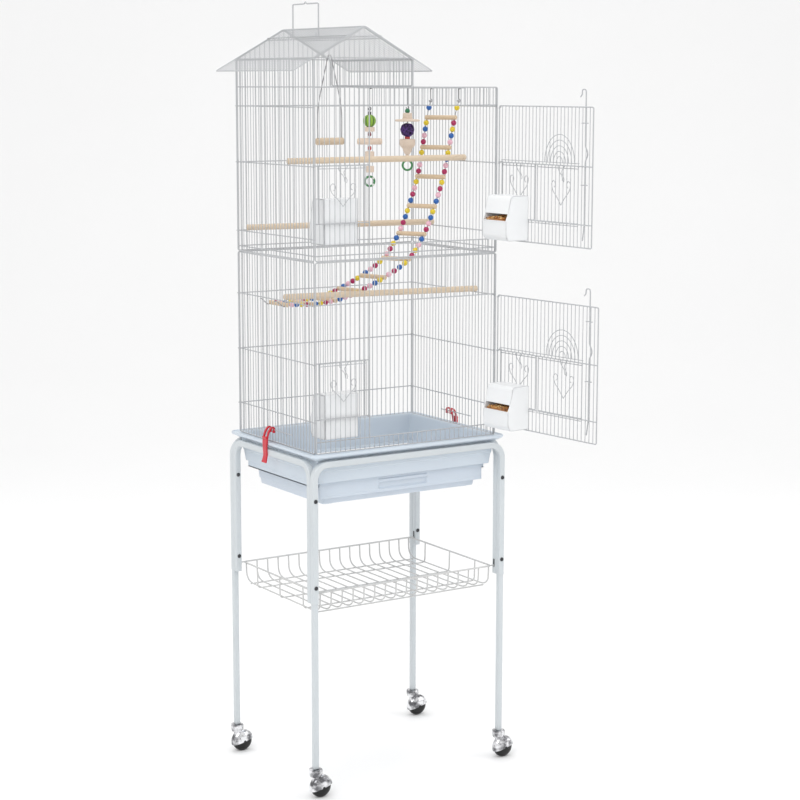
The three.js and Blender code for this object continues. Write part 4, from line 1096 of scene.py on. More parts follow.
def shell_between(near, far):
    """A thin shell: two matching grids of points (rows, columns, 3), walled round their edges."""
    rows, columns = near.shape[:2]
    size = rows * columns
    number = np.arange(size).reshape(rows, columns)
    rim = np.concatenate([number[:-1, 0], number[-1, :-1], number[:0:-1, -1], number[0, :0:-1]])
    following = np.roll(rim, -1)
    wall = np.stack([rim, following, following + size, rim + size], -1)
    sheet = grid_faces(rows, columns)
    points = np.concatenate([near.reshape(-1, 3), far.reshape(-1, 3)])
    return outward(Surface(points, [sheet, sheet[:, ::-1] + size, wall[:, ::-1]]))


def block(corner, opposite):
    """A box between two opposite corners."""
    (x0, y0, z0), (x1, y1, z1) = np.sort([corner, opposite], axis=0).astype(float)
    return extruded([(x0, y0), (x1, y0), (x1, y1), (x0, y1)], z0, z1, lambda point: point)


def soften(made, width, segments=2):
    """Rounds the piece's sharp edges with a Bevel modifier; the width is in millimetres."""
    bevel = made.modifiers.new("edge", "BEVEL")
    bevel.width, bevel.segments = width * MM, segments
    bevel.limit_method, bevel.angle_limit = "ANGLE", math.radians(35)
    bevel.harden_normals = False


print("a block has", len(block((0, 0, 0), (1, 1, 1)).points), "points")

# %% [markdown]
# ## Base tub
#
# The tub is one injection-moulded shell. Its rim has a raised outer lip and a raised inner lip
# with a channel between them, where the cage's lowest wire stands. It could be a sheet with a
# Solidify modifier, but a drawn section gives each step its real size. Going once round it,
# outside, over the rim, down inside and back underneath, gives a closed profile.

# %% Tub
RIM_X, RIM_Y, RIM_TOP = edges("base_tub")[1]
RIM_HEIGHT = 15.0
LIP_HEIGHT = 5.5
TUB_BOTTOM = edges("pull_out_tray")[1][2] + 0.6
LEDGE = CAGE_BOTTOM - 0.3

OUTSIDE = [(27.0, TUB_BOTTOM), (25.6, TUB_BOTTOM), (22.6, TUB_BOTTOM + 22.5),
           (21.6, TUB_BOTTOM + 23.2), (19.6, RIM_TOP - RIM_HEIGHT),
           (7.0, RIM_TOP - LIP_HEIGHT - 3.0), (0.6, RIM_TOP - LIP_HEIGHT),
           (0.0, RIM_TOP - LIP_HEIGHT + 0.8)]
RIM_SECTION = [(0.0, RIM_TOP), (2.6, RIM_TOP), (4.2, LEDGE - 0.9), (12.5, LEDGE - 0.9),
               (14.2, LEDGE), (17.2, LEDGE), (18.6, RIM_TOP + 0.4), (21.4, RIM_TOP + 0.4)]
INSIDE = [(22.6, LEDGE - 2), (27.6, TUB_BOTTOM + 2.8), (43.5, TUB_BOTTOM + 2.6),
          (43.5, TUB_BOTTOM), (30.0, TUB_BOTTOM)]
tub = lofted(filleted(OUTSIDE + RIM_SECTION + INSIDE, 1.2, 3), RIM_X, RIM_Y, 16)

RUNNER_FOOT = TUB_BOTTOM - 12
runners = [
    block((side * inner, -134, RUNNER_FOOT), (side * 205.9, 142, top))
    for side in (-1, 1)
    for inner, top in ((197.6, TUB_BOTTOM + 0.5), (193.0, TUB_BOTTOM - 10))
]
piece("moulded_tub", [outward(tub), *runners], TUB_PLASTIC, "root", "tub_plastic",
      ("base_tub",))

# %% [markdown]
# Short raised ribs stand in the rim's channel along all four sides and keep the cage's lowest
# wire in place. They are small blocks with rounded edges.

# %% Rim ribs
RIB_X, RIB_Y = RIM_X - 11.5, RIM_Y - 11.5
RIB_LOW, RIB_HIGH = LEDGE - 1.2, LEDGE - 0.2
ribs = []
for side in (-1, 1):
    ribs += [block((at - 9, side * RIB_Y - 1, RIB_LOW), (at + 9, side * RIB_Y + 1, RIB_HIGH))
             for at in np.linspace(-RIM_X + 60, RIM_X - 60, 9)]
    ribs += [block((side * RIB_X - 1, at - 9, RIB_LOW), (side * RIB_X + 1, at + 9, RIB_HIGH))
             for at in np.linspace(-RIM_Y + 60, RIM_Y - 60, 6)]
soften(piece("rim_ribs", ribs, TUB_PLASTIC, "root", "tub_plastic"), 0.4)

# %% [markdown]
# ## Drawer
#
# The drawer slides out of the front. Seen from the front it is a broad plate with a finger grip:
# a recess with a lip above it. That relief is a height field: depth as a smooth function of
# the position on the plate.

# %% Drawer
TRAY_LOW, TRAY_HIGH = edges("pull_out_tray")
TRAY_X, TRAY_FRONT = TRAY_HIGH[0], TRAY_LOW[1]
TRAY_TOP = TRAY_HIGH[2]
TRAY_STEP = TRAY_TOP - 34.0
TRAY_FOOT = TRAY_STEP - 13.0
PLATE = 6.0  # the front plate's thickness, and the tray's step in from its edges


def smooth_step(value, low, high):
    """0 below low, 1 above high, and an S-curve between."""
    t = np.clip((value - low) / (high - low), 0, 1)
    return t * t * (3 - 2 * t)


def drawer_front():
    """The front plate: y follows a recess and a lip, each a product of smooth steps."""
    x = np.linspace(-TRAY_X, TRAY_X, 161)
    z = np.linspace(TRAY_STEP, TRAY_TOP, 41)
    x, z = np.meshgrid(x, z, indexing="ij")
    beside = 1 - smooth_step(np.abs(x), 56, 60)
    recess = beside * smooth_step(z, TRAY_STEP + 5, TRAY_STEP + 10)
    recess *= 1 - smooth_step(z, TRAY_TOP - 15, TRAY_TOP - 13)
    lip = beside * smooth_step(z, TRAY_TOP - 14.5, TRAY_TOP - 12.5)
    lip *= 1 - smooth_step(z, TRAY_TOP - 8, TRAY_TOP - 6.5)
    edge = smooth_step(np.abs(x), TRAY_X - 2.5, TRAY_X) + smooth_step(z, TRAY_TOP - 1.5, TRAY_TOP)
    band = 0.5 * smooth_step(np.abs(x), 62, 64) * smooth_step(z, TRAY_STEP + 4, TRAY_STEP + 5)
    front = TRAY_FRONT + 1.6 + 3.9 * recess - 2.4 * lip + 0.8 * edge + band
    back = np.full_like(x, TRAY_FRONT + PLATE)
    return shell_between(np.stack([x, front, z], -1), np.stack([x, back, z], -1))


body_x, body_y = TRAY_X - PLATE, -TRAY_FRONT - PLATE
tray_profile = filleted([
    (9.0, TRAY_FOOT), (7.0, TRAY_FOOT), (4.4, TRAY_STEP - 0.5), (4.0, TRAY_STEP),
    (2.0, TRAY_STEP), (0.3, TRAY_TOP - 10), (-2.0, TRAY_TOP - 9.8), (-2.0, TRAY_TOP - 8.0),
    (2.2, TRAY_TOP - 8.0), (4.4, TRAY_STEP + 2.4), (8.2, TRAY_STEP + 2.2), (9.6, TRAY_FOOT + 2.5),
    (12.0, TRAY_FOOT + 2.5),
], 0.9, 3)
tray = lofted(tray_profile, body_x, body_y, 13, closed=False)
feet = [block((x - 8, y - 8, TRAY_FOOT - 3), (x + 8, y + 8, TRAY_FOOT + 1))
        for x in (-165, 165) for y in (-110, 110)]
piece("drawer", [outward(tray), drawer_front(), *feet], DRAWER_PLASTIC, "pull_out_tray",
      "tray_plastic", ("pull_out_tray",))

# %% [markdown]
# ## Clips
#
# A red clip on each side hooks over a wire of the cage, passes down outside the rim and ends in
# a lever to flick it open. Its top is forked: two fingers reach over the wire. Seen from the
# front it is a bent strip, so each part is a rectangle carried along a path in that view.

# %% Clips
CLIP_Y = 15.0
FINGERS = (CLIP_Y - 7.0, CLIP_Y + 7.0)


def ribbon(path, width, thickness, depth):
    """A flat strip: a rectangle carried along a path in the XZ plane, as wide as given in Y."""
    path = np.asarray(path, float)
    tangent = np.gradient(path, axis=0)
    tangent /= np.linalg.norm(tangent, axis=1, keepdims=True)
    normal = np.stack([-tangent[:, 1], tangent[:, 0]], -1)
    width = np.broadcast_to(width, len(path))
    thickness = np.broadcast_to(thickness, len(path))
    corners = []
    for across, off in ((-1, -1), (1, -1), (1, 1), (-1, 1)):
        point = path + off * normal * thickness[:, None] / 2
        corners.append(np.stack([point[:, 0], depth + across * width / 2, point[:, 1]], -1))
    points = np.stack(corners, 1).reshape(-1, 3)
    last = (len(path) - 1) * 4
    faces = [grid_faces(len(path), 4, wrap_columns=True), [[0, 1, 2, 3]],
             [[last + 3, last + 2, last + 1, last]]]
    return outward(Surface(points, faces))


def along_y(x, y, z, half, radius):
    """A short dowel along Y, centred on a point."""
    return dowel((x, y - half, z), (x, y + half, z), radius, 12, 0.5)


print("a ribbon of two points has", len(ribbon([(0, 0), (0, 1)], 1, 1, 0).points), "corners")

# %% Clips on both sides
for name, side in (("left", -1), ("right", 1)):
    low, high = edges(f"{name}_clip")
    inner, outer = sorted((abs(low[0]), abs(high[0])))
    top, foot = high[2], low[2]
    out = outer - 4.6
    finger = smooth_path([
        (inner + 1.3, top - 11), (inner + 1.0, top - 4), (inner + 4.2, top - 1.6),
        (inner + 9, top - 4.0), (out - 4.0, top - 12), (out - 0.5, top - 24),
    ], 5) * (side, 1)
    body = smooth_path([
        (out - 1.2, top - 20), (out, top - 33), (out, top - 48), (out - 0.5, top - 58),
        (out + 1.2, top - 67), (out + 3.2, foot + 1.2),
    ], 5) * (side, 1)
    share = np.linspace(0, 1, len(body))
    strips = [ribbon(finger, 4.6, 3.2, y) for y in FINGERS]
    spread = 18.6 - 4.0 * smooth_step(share, 0.0, 0.45) + 3.0 * smooth_step(share, 0.6, 1.0)
    strips.append(ribbon(body, spread, 3.6 - 1.0 * share, CLIP_Y))
    strips.append(along_y(side * (out + 0.2), CLIP_Y, top - 22, 8, 2.6))
    strips += [along_y(side * (inner + 1.8), y, top - 11, 3.2, 2.4) for y in FINGERS]
    soften(piece(f"{name}_red_clip", strips, RED_PLASTIC, f"{name}_clip", "clip_plastic",
                 (f"{name}_clip",)), 0.5)
    keeper = side * (HALF_WIDTH + 1.3)
    piece(f"{name}_clip_wire", rods((keeper, -68, top - 6.5), (keeper, 44, top - 6.5), 2.0),
          WIRE_ENAMEL, "root", "cage_enamel")

# %% [markdown]
# ## Feeders
#
# A feeder is a cup of thin milky plastic under a rounded hood. It hangs behind a hatch, and the
# birds eat through its mouth, which looks inwards. The shell is a strip that runs from the
# hood's front over the top, down the back, along the bottom and up to the lip, closed by a cheek
# at each end. A strip with real thickness lets its edges catch the light.

# %% Feeders
FEEDER_WIDTH, FEEDER_DEPTH, FEEDER_HEIGHT = 78.0, 56.0, 90.0
WALL, LIP, MOUTH = 2.0, 40.0, 14.0  # the plastic, the height of the lip, the opening above it


def feeder_outline(inset):
    """(depth, height) points from the mouth's top edge round the back to the lip."""
    front = FEEDER_DEPTH - inset
    top = FEEDER_HEIGHT - inset
    hood = filleted([(front - 5, LIP + MOUTH), (front - 13, top), (26, top), (inset, top)], 9, 4)
    cup = filleted([(inset, top), (inset, inset), (front - 7, inset), (front, inset + 9),
                    (front, LIP)], 3, 3)
    return hood, cup[1:]


def feeder_parts(board, middle, bottom, stand_off):
    """All the strips and cheeks of one feeder, hung inside a board."""
    def hang(points):
        along = middle + points[:, 2]
        return board.at(along, bottom + points[:, 1], -(stand_off + points[:, 0]))

    half = FEEDER_WIDTH / 2
    (hood_out, cup_out), (hood_in, cup_in) = feeder_outline(0.0), feeder_outline(WALL)
    outer = np.concatenate([hood_out, cup_out])
    inner = np.concatenate([hood_in, cup_in])
    parts = [extruded(np.concatenate([outer, inner[::-1]]), -half, half, hang)]
    cheek = np.concatenate([outer, [(FEEDER_DEPTH, LIP), (FEEDER_DEPTH - 1.5, LIP + 4),
                                    (FEEDER_DEPTH - 4.5, LIP + MOUTH - 3)]])
    for side in (-1, 1):
        parts.append(extruded(cheek, side * half, side * (half - WALL), hang))
    lip = rectangle(FEEDER_DEPTH - 2.4, FEEDER_DEPTH + 1.0, LIP - 1.6, LIP + 0.6)
    parts.append(extruded(lip, -half, half, hang))
    return parts


print("a feeder has", len(feeder_parts(FRONT, 0, 0, 0)), "parts")

# %% [markdown]
# The cup is full of mixed seed. Hundreds of loose seeds lie on a packed bed, so that the mouth
# shows real grains with shadows between them and the bed hides the empty cup beneath. One seed
# has a few dozen faces, and numpy places all its copies at once.

# %% Seeds
SEED = np.random.default_rng(11)
SEED_REACH = 32.0  # loose seeds lie this far to either side of the middle
SEED_SIZE = np.array([1.9, 1.7, 3.3])
SEED_COLOURS = np.array([(0.60, 0.25, 0.06), (0.72, 0.38, 0.12), (0.45, 0.17, 0.05),
                         (0.78, 0.55, 0.25), (0.30, 0.13, 0.05)])


def heap_height(along, depth, crown, rise, fall):
    """The heap's top: a cosine from side to side, lowered by the square of the depth."""
    return crown + rise * np.cos(along / SEED_REACH * fall) * (1 - (depth / 70) ** 2)


def seed_heap(board, middle, bottom, stand_off, count=230):
    """Seeds on a mound: a point on the heap's surface, a random turn and a random colour each.

    One seed is a stretched ball of few faces, and all of them are placed with one product of
    rotation matrices and the ball's points.
    """
    one = ball((0, 0, 0), 1.0, 6, 3)
    along = SEED.uniform(-SEED_REACH, SEED_REACH, count)
    depth = SEED.uniform(14, FEEDER_DEPTH - 3.5, count)
    height = heap_height(along, depth, 41.5, 8.5, 1.3) + SEED.uniform(-2.0, 1.4, count)
    quaternion = SEED.normal(size=(count, 4))
    quaternion /= np.linalg.norm(quaternion, axis=1, keepdims=True)
    w, x, y, z = quaternion.T
    turn = np.stack([
        np.stack([1 - 2 * (y * y + z * z), 2 * (x * y - z * w), 2 * (x * z + y * w)], -1),
        np.stack([2 * (x * y + z * w), 1 - 2 * (x * x + z * z), 2 * (y * z - x * w)], -1),
        np.stack([2 * (x * z - y * w), 2 * (y * z + x * w), 1 - 2 * (x * x + y * y)], -1),
    ], 1)
    size = SEED_SIZE * SEED.uniform(0.8, 1.2, (count, 1))
    shape = one.points[None] * size[:, None]
    places = board.at(middle + along, bottom + height, -(stand_off + depth))
    points = np.einsum("nij,nkj->nki", turn, shape) + places[:, None]
    per = len(one.points)
    starts = np.arange(count)[:, None, None] * per
    faces = [(face[None] + starts).reshape(-1, face.shape[1]) for face in one.faces]
    colours = SEED_COLOURS[SEED.integers(0, len(SEED_COLOURS), count)]
    return Surface(points.reshape(-1, 3), faces, np.repeat(colours, per, axis=0))


def seed_bed(board, middle, bottom, stand_off):
    """The packed seed under the loose ones: a gently domed block that fills the cup."""
    along, depth = np.meshgrid(np.linspace(-36.5, 36.5, 24),
                               np.linspace(2.6, FEEDER_DEPTH - 2.8, 12), indexing="ij")
    top = heap_height(along, depth, 39.5, 8.0, 1.25)
    sheets = [board.at(middle + along, bottom + height, -(stand_off + depth))
              for height in (top, np.full_like(top, 9.0))]
    return shell_between(*sheets).painted((0.50, 0.22, 0.07))


def feeder(name, body, *place):
    """A feeder's shell at a place: its board, middle, bottom and distance behind the board."""
    soften(piece(f"{name}_shell", feeder_parts(*place), MILKY_PLASTIC, body, "feeder_plastic",
                 (name,), smooth=False), 0.6)


for level in ("upper", "lower"):
    place = (door_board(level), sum(FEEDER_HATCH) / 2, POST + 1.0, UPRIGHT / 2 + 1.0)
    feeder(f"{level}_door_feeder", f"{level}_door", *place)
    piece(f"{level}_door_seeds", [seed_bed(*place), seed_heap(*place)],
          SEED_HUSK, f"{level}_door", "toy_wood")
    low, high = edges(f"{level}_strip_feeder")
    feeder(f"{level}_strip_feeder", "root",
           FRONT, (low[0] + high[0]) / 2, low[2], low[1] - FRONT.origin[1])

# %% [markdown]
# ## Stand
#
# Four square tubes are each bent into an upside-down U and bolted together in pairs at the
# corners, so that their flat tops carry the tub's rim. Slimmer legs slide up inside the front
# and back ones. The section is a square with rounded edges, carried along the U.

# %% Tubes
TUBE = 12.7
BEND = 35.0
LEG = 11.0


def rounded_square(size, radius=1.6, per_corner=4):
    """A square section with rounded edges."""
    return rounded_rectangle(size / 2, size / 2, radius, per_corner)


def u_path(half, top, foot, steps=10):
    """A U on its head, as (across, height): leg, quarter-circle bend, rail, bend, leg."""
    middle = BEND - TUBE / 2
    angle = np.linspace(0, np.pi / 2, steps)
    bend = np.stack([half - middle + middle * np.cos(angle),
                     top - middle + middle * np.sin(angle)], -1)
    right = np.concatenate([[(half, foot)], bend])
    return np.concatenate([right, right[::-1] * (-1, 1)])


STAND = ("root", "stand_enamel")
for name, axis in (("front", 0), ("back", 0), ("left", 1), ("right", 1)):
    low, high = edges(f"stand_{name}_frame")
    half = (high[axis] - low[axis] - TUBE) / 2
    level = (low[1 - axis] + high[1 - axis]) / 2
    path = u_path(half, high[2] - TUBE / 2, low[2])
    points = np.zeros((len(path), 3))
    points[:, axis], points[:, 1 - axis], points[:, 2] = path[:, 0], level, path[:, 1]
    piece(f"{name}_bent_tube", swept(points[None], rounded_square(TUBE)), STAND_COAT,
          *STAND, (f"stand_{name}_frame",))

CORNERS = ("front_left", "front_right", "back_left", "back_right")
for corner in CORNERS:
    low, high = edges(f"{corner}_leg")
    x, y = (low[:2] + high[:2]) / 2
    leg = swept([[(x, y, low[2]), (x, y, low[2] + 1), (x, y, high[2] - 1), (x, y, high[2])]],
                rounded_square(LEG, 1.4), scale=[[0.94, 1, 1, 0.94]])
    piece(f"{corner}_lower_leg", leg, STAND_COAT, *STAND, (f"{corner}_leg",))

# %% [markdown]
# Black cross-head bolts go through the tubes from front to back at two heights, and each ends in
# a domed nut. The basket hangs in a slot cut in each leg's inner face; the slot's dark inside is
# drawn as a thin black block, which is painted shade.

# %% Bolts and painted slot shade
BOLT_HEIGHTS = (613.0, 437.0)
LEG_X = (edges("front_right_leg")[0][0] + edges("front_right_leg")[1][0]) / 2
LEG_Y = (edges("back_right_leg")[0][1] + edges("back_right_leg")[1][1]) / 2
SIDE_FRAME_Y = LEG_Y - TUBE - 0.3  # the side frames stand inside the front and back ones
SLOT_FOOT = 418.0
BLACK_STEEL_AND_SHADE_PART = (BLACK_STEEL, "root", "wheel_plastic")


def bolt(x, y_head, y_end, z):
    """A domed head with a raised cross and a domed nut, turned about Y."""
    way = 1 if y_end > y_head else -1
    head = [(0, 0), (0.2, 2.6), (1.1, 3.8), (2.4, 4.3), (2.6, 4.3), (2.6, 0)]
    face = y_head - way * 2.6
    nut = [(0, 0), (0, 3.9), (2.6, 3.9), (3.6, 3.0), (4.6, 1.6), (5.2, 1.3), (5.2, 0)]
    cross = [block((x - wide, face - way * 0.15, z - tall), (x + wide, face + way * 0.3, z + tall))
             for wide, tall in ((1.9, 0.35), (0.35, 1.9))]
    return [turned(head, (x, face, z), (0, way, 0), 14),
            turned(nut, (x, y_end, z), (0, way, 0), 6), *cross]


outer, inner = LEG_Y + TUBE / 2, SIDE_FRAME_Y - TUBE / 2
bolts = []
for x in (-LEG_X, LEG_X):
    for z in BOLT_HEIGHTS:
        bolts += bolt(x, -outer, -inner, z) + bolt(x, inner, outer, z)
soften(piece("bolts", bolts, *BLACK_STEEL_AND_SHADE_PART), 0.15, 1)

# a thin black block in each slot stands for the dark inside of the hole: painted shade
slot_shade_blocks = [block((x - 0.25, y - 2.4, SLOT_FOOT), (x + 0.25, y + 2.4, SLOT_FOOT + 17))
         for x in (TUBE / 2 - LEG_X, LEG_X - TUBE / 2) for y in (-SIDE_FRAME_Y, SIDE_FRAME_Y)]
piece("basket_slot_shade", slot_shade_blocks, *BLACK_STEEL_AND_SHADE_PART)

# %% [markdown]
# ## Basket
#
# The basket is bent wire: close ribs run from the front rim down, across and up to the back
# rim, and three long wires cross them underneath and turn up at the ends. All the ribs are one
# path at seventeen places, so a single sweep makes them together.

# %% Basket
B_LOW, B_HIGH = edges("wire_basket")
BASKET_X, BASKET_Y = LEG_X - TUBE / 2 - 8.0, B_HIGH[1]
BASKET_TOP, BASKET_FLOOR = B_HIGH[2] - 1.6, B_LOW[2] + 3.2
BASKET_WIRE = 3.2
UNDER = BASKET_FLOOR - 2.6  # the long wires pass beneath the ribs
basket_board = Panel([0, 0, BASKET_TOP], (1, 0, 0), (0, 1, 0), (0, 0, 1))
rim_y = BASKET_Y - 1.6
corners = rectangle(-BASKET_X, BASKET_X, -rim_y, rim_y)
basket = [basket_board.loop(corners[1:] + corners[:1], 3.8, radius=10)]
rib = filleted([(-BASKET_Y + 2.5, BASKET_TOP), (-BASKET_Y + 4.5, BASKET_FLOOR),
                (BASKET_Y - 4.5, BASKET_FLOOR), (BASKET_Y - 2.5, BASKET_TOP)], 32, 9)
rib_places = np.linspace(-BASKET_X + 6, BASKET_X - 6, 17)
rib_paths = np.stack([np.column_stack([np.full(len(rib), x), rib]) for x in rib_places])
basket.append(swept(rib_paths, circle(BASKET_WIRE / 2)))
long_wire = filleted([(-BASKET_X, BASKET_TOP), (-BASKET_X + 1, UNDER), (BASKET_X - 1, UNDER),
                      (BASKET_X, BASKET_TOP)], 9, 5)
for y in (-96.0, 0.0, 96.0):
    path = np.column_stack([long_wire[:, 0], np.full(len(long_wire), y), long_wire[:, 1]])
    basket.append(bent_wire(path, BASKET_WIRE))
basket += [rods((-BASKET_X + 6, y, UNDER), (BASKET_X - 6, y, UNDER), BASKET_WIRE)
           for y in (-BASKET_Y + 22, BASKET_Y - 22)]
for side in (-1, 1):
    for y in (-SIDE_FRAME_Y, SIDE_FRAME_Y):
        hook = [(side * (BASKET_X - 16), y, BASKET_TOP), (side * (LEG_X - 5), y, BASKET_TOP),
                (side * (LEG_X - 4), y, BASKET_TOP - 7)]
        basket.append(bent_wire(filleted(hook, 3, 4), 3.0))
piece("basket_wires", basket, BASKET_COAT, "root", "basket_enamel", ("wire_basket",))

# %% [markdown]
# ## Casters
#
# Each leg ends in a swivel caster: a chrome collar pressed on the leg, a chrome hood, and a
# glossy black wheel that looks like a ball cut in two. The two half-wheels are turned about the
# axle. The hood is a thin dome, as wide as the wheel and open below: a ball could be cut by a
# Boolean, but a sheet of two parameters gives a clean edge all round.

# %% Casters
WHEEL_R = 22.0
WHEEL_HALF = 10.4


def hood(centre):
    """A dome over the wheel: an outer and an inner sheet, joined round the edge.

    The first parameter turns round the axle from one side, over the top, to the other; the
    second runs across the hood. The radius shrinks towards its sides as a superellipse.
    """
    over = np.radians(np.linspace(12, 196, 33))
    across = np.sin(np.linspace(-1, 1, 21) * 1.5)
    turn, width = np.meshgrid(over, across, indexing="ij")
    shrink = (1 - np.abs(width) ** 2.4) ** (1 / 2.4)
    sheets = [
        np.stack([radius * shrink * np.cos(turn), half * width,
                  radius * shrink * np.sin(turn)], -1)
        for radius, half in ((25.2, 13.4), (23.4, 11.8))
    ]
    return shell_between(*sheets).moved(centre)


def half_wheel(centre, way):
    """One half of the wheel: a flat inner face and a cheek that bulges like a squashed ball.

    The cheek is a superellipse, radius**2.6 + along**2.6 = 1 in units of the wheel's size.
    """
    turn = np.linspace(0.06, np.pi / 2, 16)
    cheek = np.stack([WHEEL_HALF * np.sin(turn) ** (2 / 2.6),
                      WHEEL_R * np.cos(turn) ** (2 / 2.6)], -1)
    cheek[-1, 1] = 0
    profile = np.concatenate([[(0.6, 0), (0.6, WHEEL_R - 1.4)], cheek])
    return turned(profile, centre, (0, way, 0), 40)


COLLAR = [(0, 0), (0, 9), (1.5, 11.5), (4, 12.6), (6, 12.9), (7.5, 13.8), (15.0, 13.9),
          (16.4, 13.2), (17.0, 11.8), (17.2, 0)]
STEM = [(0, 0), (0, 7.5), (8, 7.0), (12, 8.8), (12, 0)]
print("a hood has", len(hood((0, 0, 0)).points), "points")

# %% Four casters
for corner in CORNERS:
    low, high = edges(f"{corner}_wheel")
    centre = (low + high) / 2
    centre[2] = low[2] + WHEEL_R - 0.1
    top = edges(f"{corner}_caster")[1][2]
    swivel = sum(edges(f"{corner}_leg")) / 2 * (1, 1, 0)
    collar = turned(COLLAR, swivel + (0, 0, top - 17.2), (0, 0, 1), 32)
    stem = turned(STEM, swivel + (0, 0, top - 25), (0, 0, 1), 20)
    piece(f"{corner}_caster_fork", [collar, stem, hood(centre)], CHROME,
          f"{corner}_caster", "caster_chrome", (f"{corner}_caster",))
    wheel = [half_wheel(centre, way) for way in (-1, 1)]
    piece(f"{corner}_ball_wheel", wheel, WHEEL_PLASTIC, f"{corner}_wheel", "wheel_plastic",
          (f"{corner}_wheel",))

# %% [markdown]
# ## Perches and swing
#
# The perches are plain dowels, turned with a groove near each end where they snap over a wire.
# A turned profile brings the chamfers and the grooves with it, which a cylinder would not. The
# swing is one springy wire under the ridge, with a short dowel threaded on its feet.

# %% Perches
PERCH_RADIUS = 6.2
GROOVE = 9.0  # from the perch's end
PERCH_SLANT = {"upper_perch": 0.0, "middle_perch": -54.0, "lower_perch": -64.0}  # right end's Y
for name, slant in PERCH_SLANT.items():
    low, high = edges(name)
    middle, half = (low + high) / 2, (high[0] - low[0]) / 2 - 1.0
    reach = np.array([half, slant / 2, 0])
    perch = dowel(middle - reach, middle + reach, PERCH_RADIUS, 24, 1.4,
                  (GROOVE, 2 * half - GROOVE))
    piece(f"{name}_dowel", perch, PERCH_WOOD, "root", "perch_wood", (name,))

# %% Swing
SWING_LOW, SWING_HIGH = edges("swing_wire")
SWING_Y = (SWING_LOW[1] + SWING_HIGH[1]) / 2
SWING_TOP = SWING_HIGH[2] - 1.2
SWING_HALF = 28.0
(dowel_left, _, dowel_low), (dowel_right, _, dowel_high) = edges("swing_perch")
DOWEL_Z = (dowel_low + dowel_high) / 2
arm = smooth_path([
    (0, SWING_TOP + 0.2), (3.4, SWING_TOP - 2.4), (7, SWING_TOP - 16),
    (SWING_HALF * 0.55, SWING_TOP - 50), (SWING_HALF * 0.86, SWING_TOP - 88),
    (SWING_HALF, SWING_TOP - 118), (SWING_HALF, DOWEL_Z + 9), (SWING_HALF, DOWEL_Z - 1),
])
path = np.concatenate([arm[::-1] * (-1, 1), arm[1:]])
swing = np.column_stack([RIDGE_X + path[:, 0], np.full(len(path), SWING_Y), path[:, 1]])
WASHER = [(-1.2, 0), (-1.2, 3.2), (1.2, 3.2), (1.2, 0)]
washers = [turned(WASHER, (RIDGE_X + side * SWING_HALF, SWING_Y, DOWEL_Z), (1, 0, 0), 12)
           for side in (-1, 1)]
piece("swing_bent_wire", [bent_wire(swing, 2.0), *washers], BRIGHT_STEEL, "swing", "swing_wire",
      ("swing_wire",))
grooves = (3.8, dowel_right - dowel_left - 3.8)
piece("swing_dowel", dowel((dowel_left, SWING_Y, DOWEL_Z), (dowel_right, SWING_Y, DOWEL_Z),
                           7.2, 20, 2.0, grooves),
      SWING_WOOD, "swing", "perch_wood", ("swing_perch",))

# %% [markdown]
# ## Hanging toys
#
# Both toys are stacks threaded on a wire under the flat top: turned blocks, lacquered beads, a
# ribbed ball, a woven ball and a ring to finish. Each part is drawn at its drop below the roof.

# %% Toy parts
APPLE_GREEN, DARK_GREEN = (0.30, 0.52, 0.05), (0.02, 0.10, 0.035)
LEAF_GREEN, BOTTLE_GREEN = (0.015, 0.19, 0.075), (0.03, 0.22, 0.06)
RED, CRIMSON, MAROON = (0.55, 0.03, 0.03), (0.42, 0.0, 0.09), (0.22, 0.01, 0.03)
PURPLE, BLUE = (0.055, 0.018, 0.13), (0.0, 0.11, 0.44)
YELLOW, PINK = (0.80, 0.60, 0.01), (0.86, 0.50, 0.60)
BLACK, MINT = (0.012, 0.012, 0.012), (0.75, 0.80, 0.74)


def hang_wire(x, y, top, length):
    """A straight wire with a hook over the roof's wire and an eye at its lower end."""
    turn = np.linspace(0, 1.6 * np.pi, 12)
    hook = np.stack([x + 2.6 - 2.6 * np.cos(turn), np.full(12, y), top + 2.0 * np.sin(turn)], -1)
    eye = np.stack([x + 3.2 * np.sin(turn), np.full(12, y),
                    top - length - 3.2 + 3.2 * np.cos(turn)], -1)
    return bent_wire(np.concatenate([hook[::-1], eye]), 2.2)


def ring(centre, radius, thickness, facing):
    """A ring seen from a direction: a circle swept with a round section."""
    facing = np.asarray(facing, float) / np.linalg.norm(facing)
    side = np.cross(facing, (0, 0, 1))
    side /= np.linalg.norm(side)
    angle = np.linspace(0, 2 * np.pi, 28, endpoint=False)
    path = (np.asarray(centre, float) + radius * np.cos(angle)[:, None] * side
            + radius * np.sin(angle)[:, None] * np.cross(side, facing))
    return bent_wire(path, thickness, closed=True, sides=10)


def plumb_line(joint):
    """A function that gives the point at a drop below a toy's hook."""
    hook = pivot(joint)
    return lambda amount: hook - (0, 0, amount)


def ribbed_ball(centre, radius, ribs=9):
    """A ball whose radius swells and pinches round its axis: 1 minus a sharp cosine groove."""
    surface = ball(centre, radius, 72, 13)
    offset = surface.points - centre
    angle = np.arctan2(offset[:, 1], offset[:, 0])
    groove = 1 - 0.13 * (0.5 + 0.5 * np.cos(ribs * angle)) ** 4
    points = centre + offset * np.stack([groove, groove, np.ones_like(groove)], -1)
    share = (0.5 + 0.5 * np.cos(ribs * angle))[:, None] ** 3
    paint = np.array(APPLE_GREEN) * (1 - share) + np.array(DARK_GREEN) * share
    return Surface(points, surface.faces, paint)


def puck(radius, height, centre, sides=20):
    """A turned block: a short cylinder with softened edges, centred on a point."""
    half, edge = height / 2, 0.8
    profile = [(-half, 0), (-half, radius - edge), (-half + edge, radius), (half - edge, radius),
               (half, radius - edge), (half, 0)]
    return turned(profile, centre, (0, 0, -1), sides)


print("a puck has", len(puck(1, 2, (0, 0, 0)).points), "points")

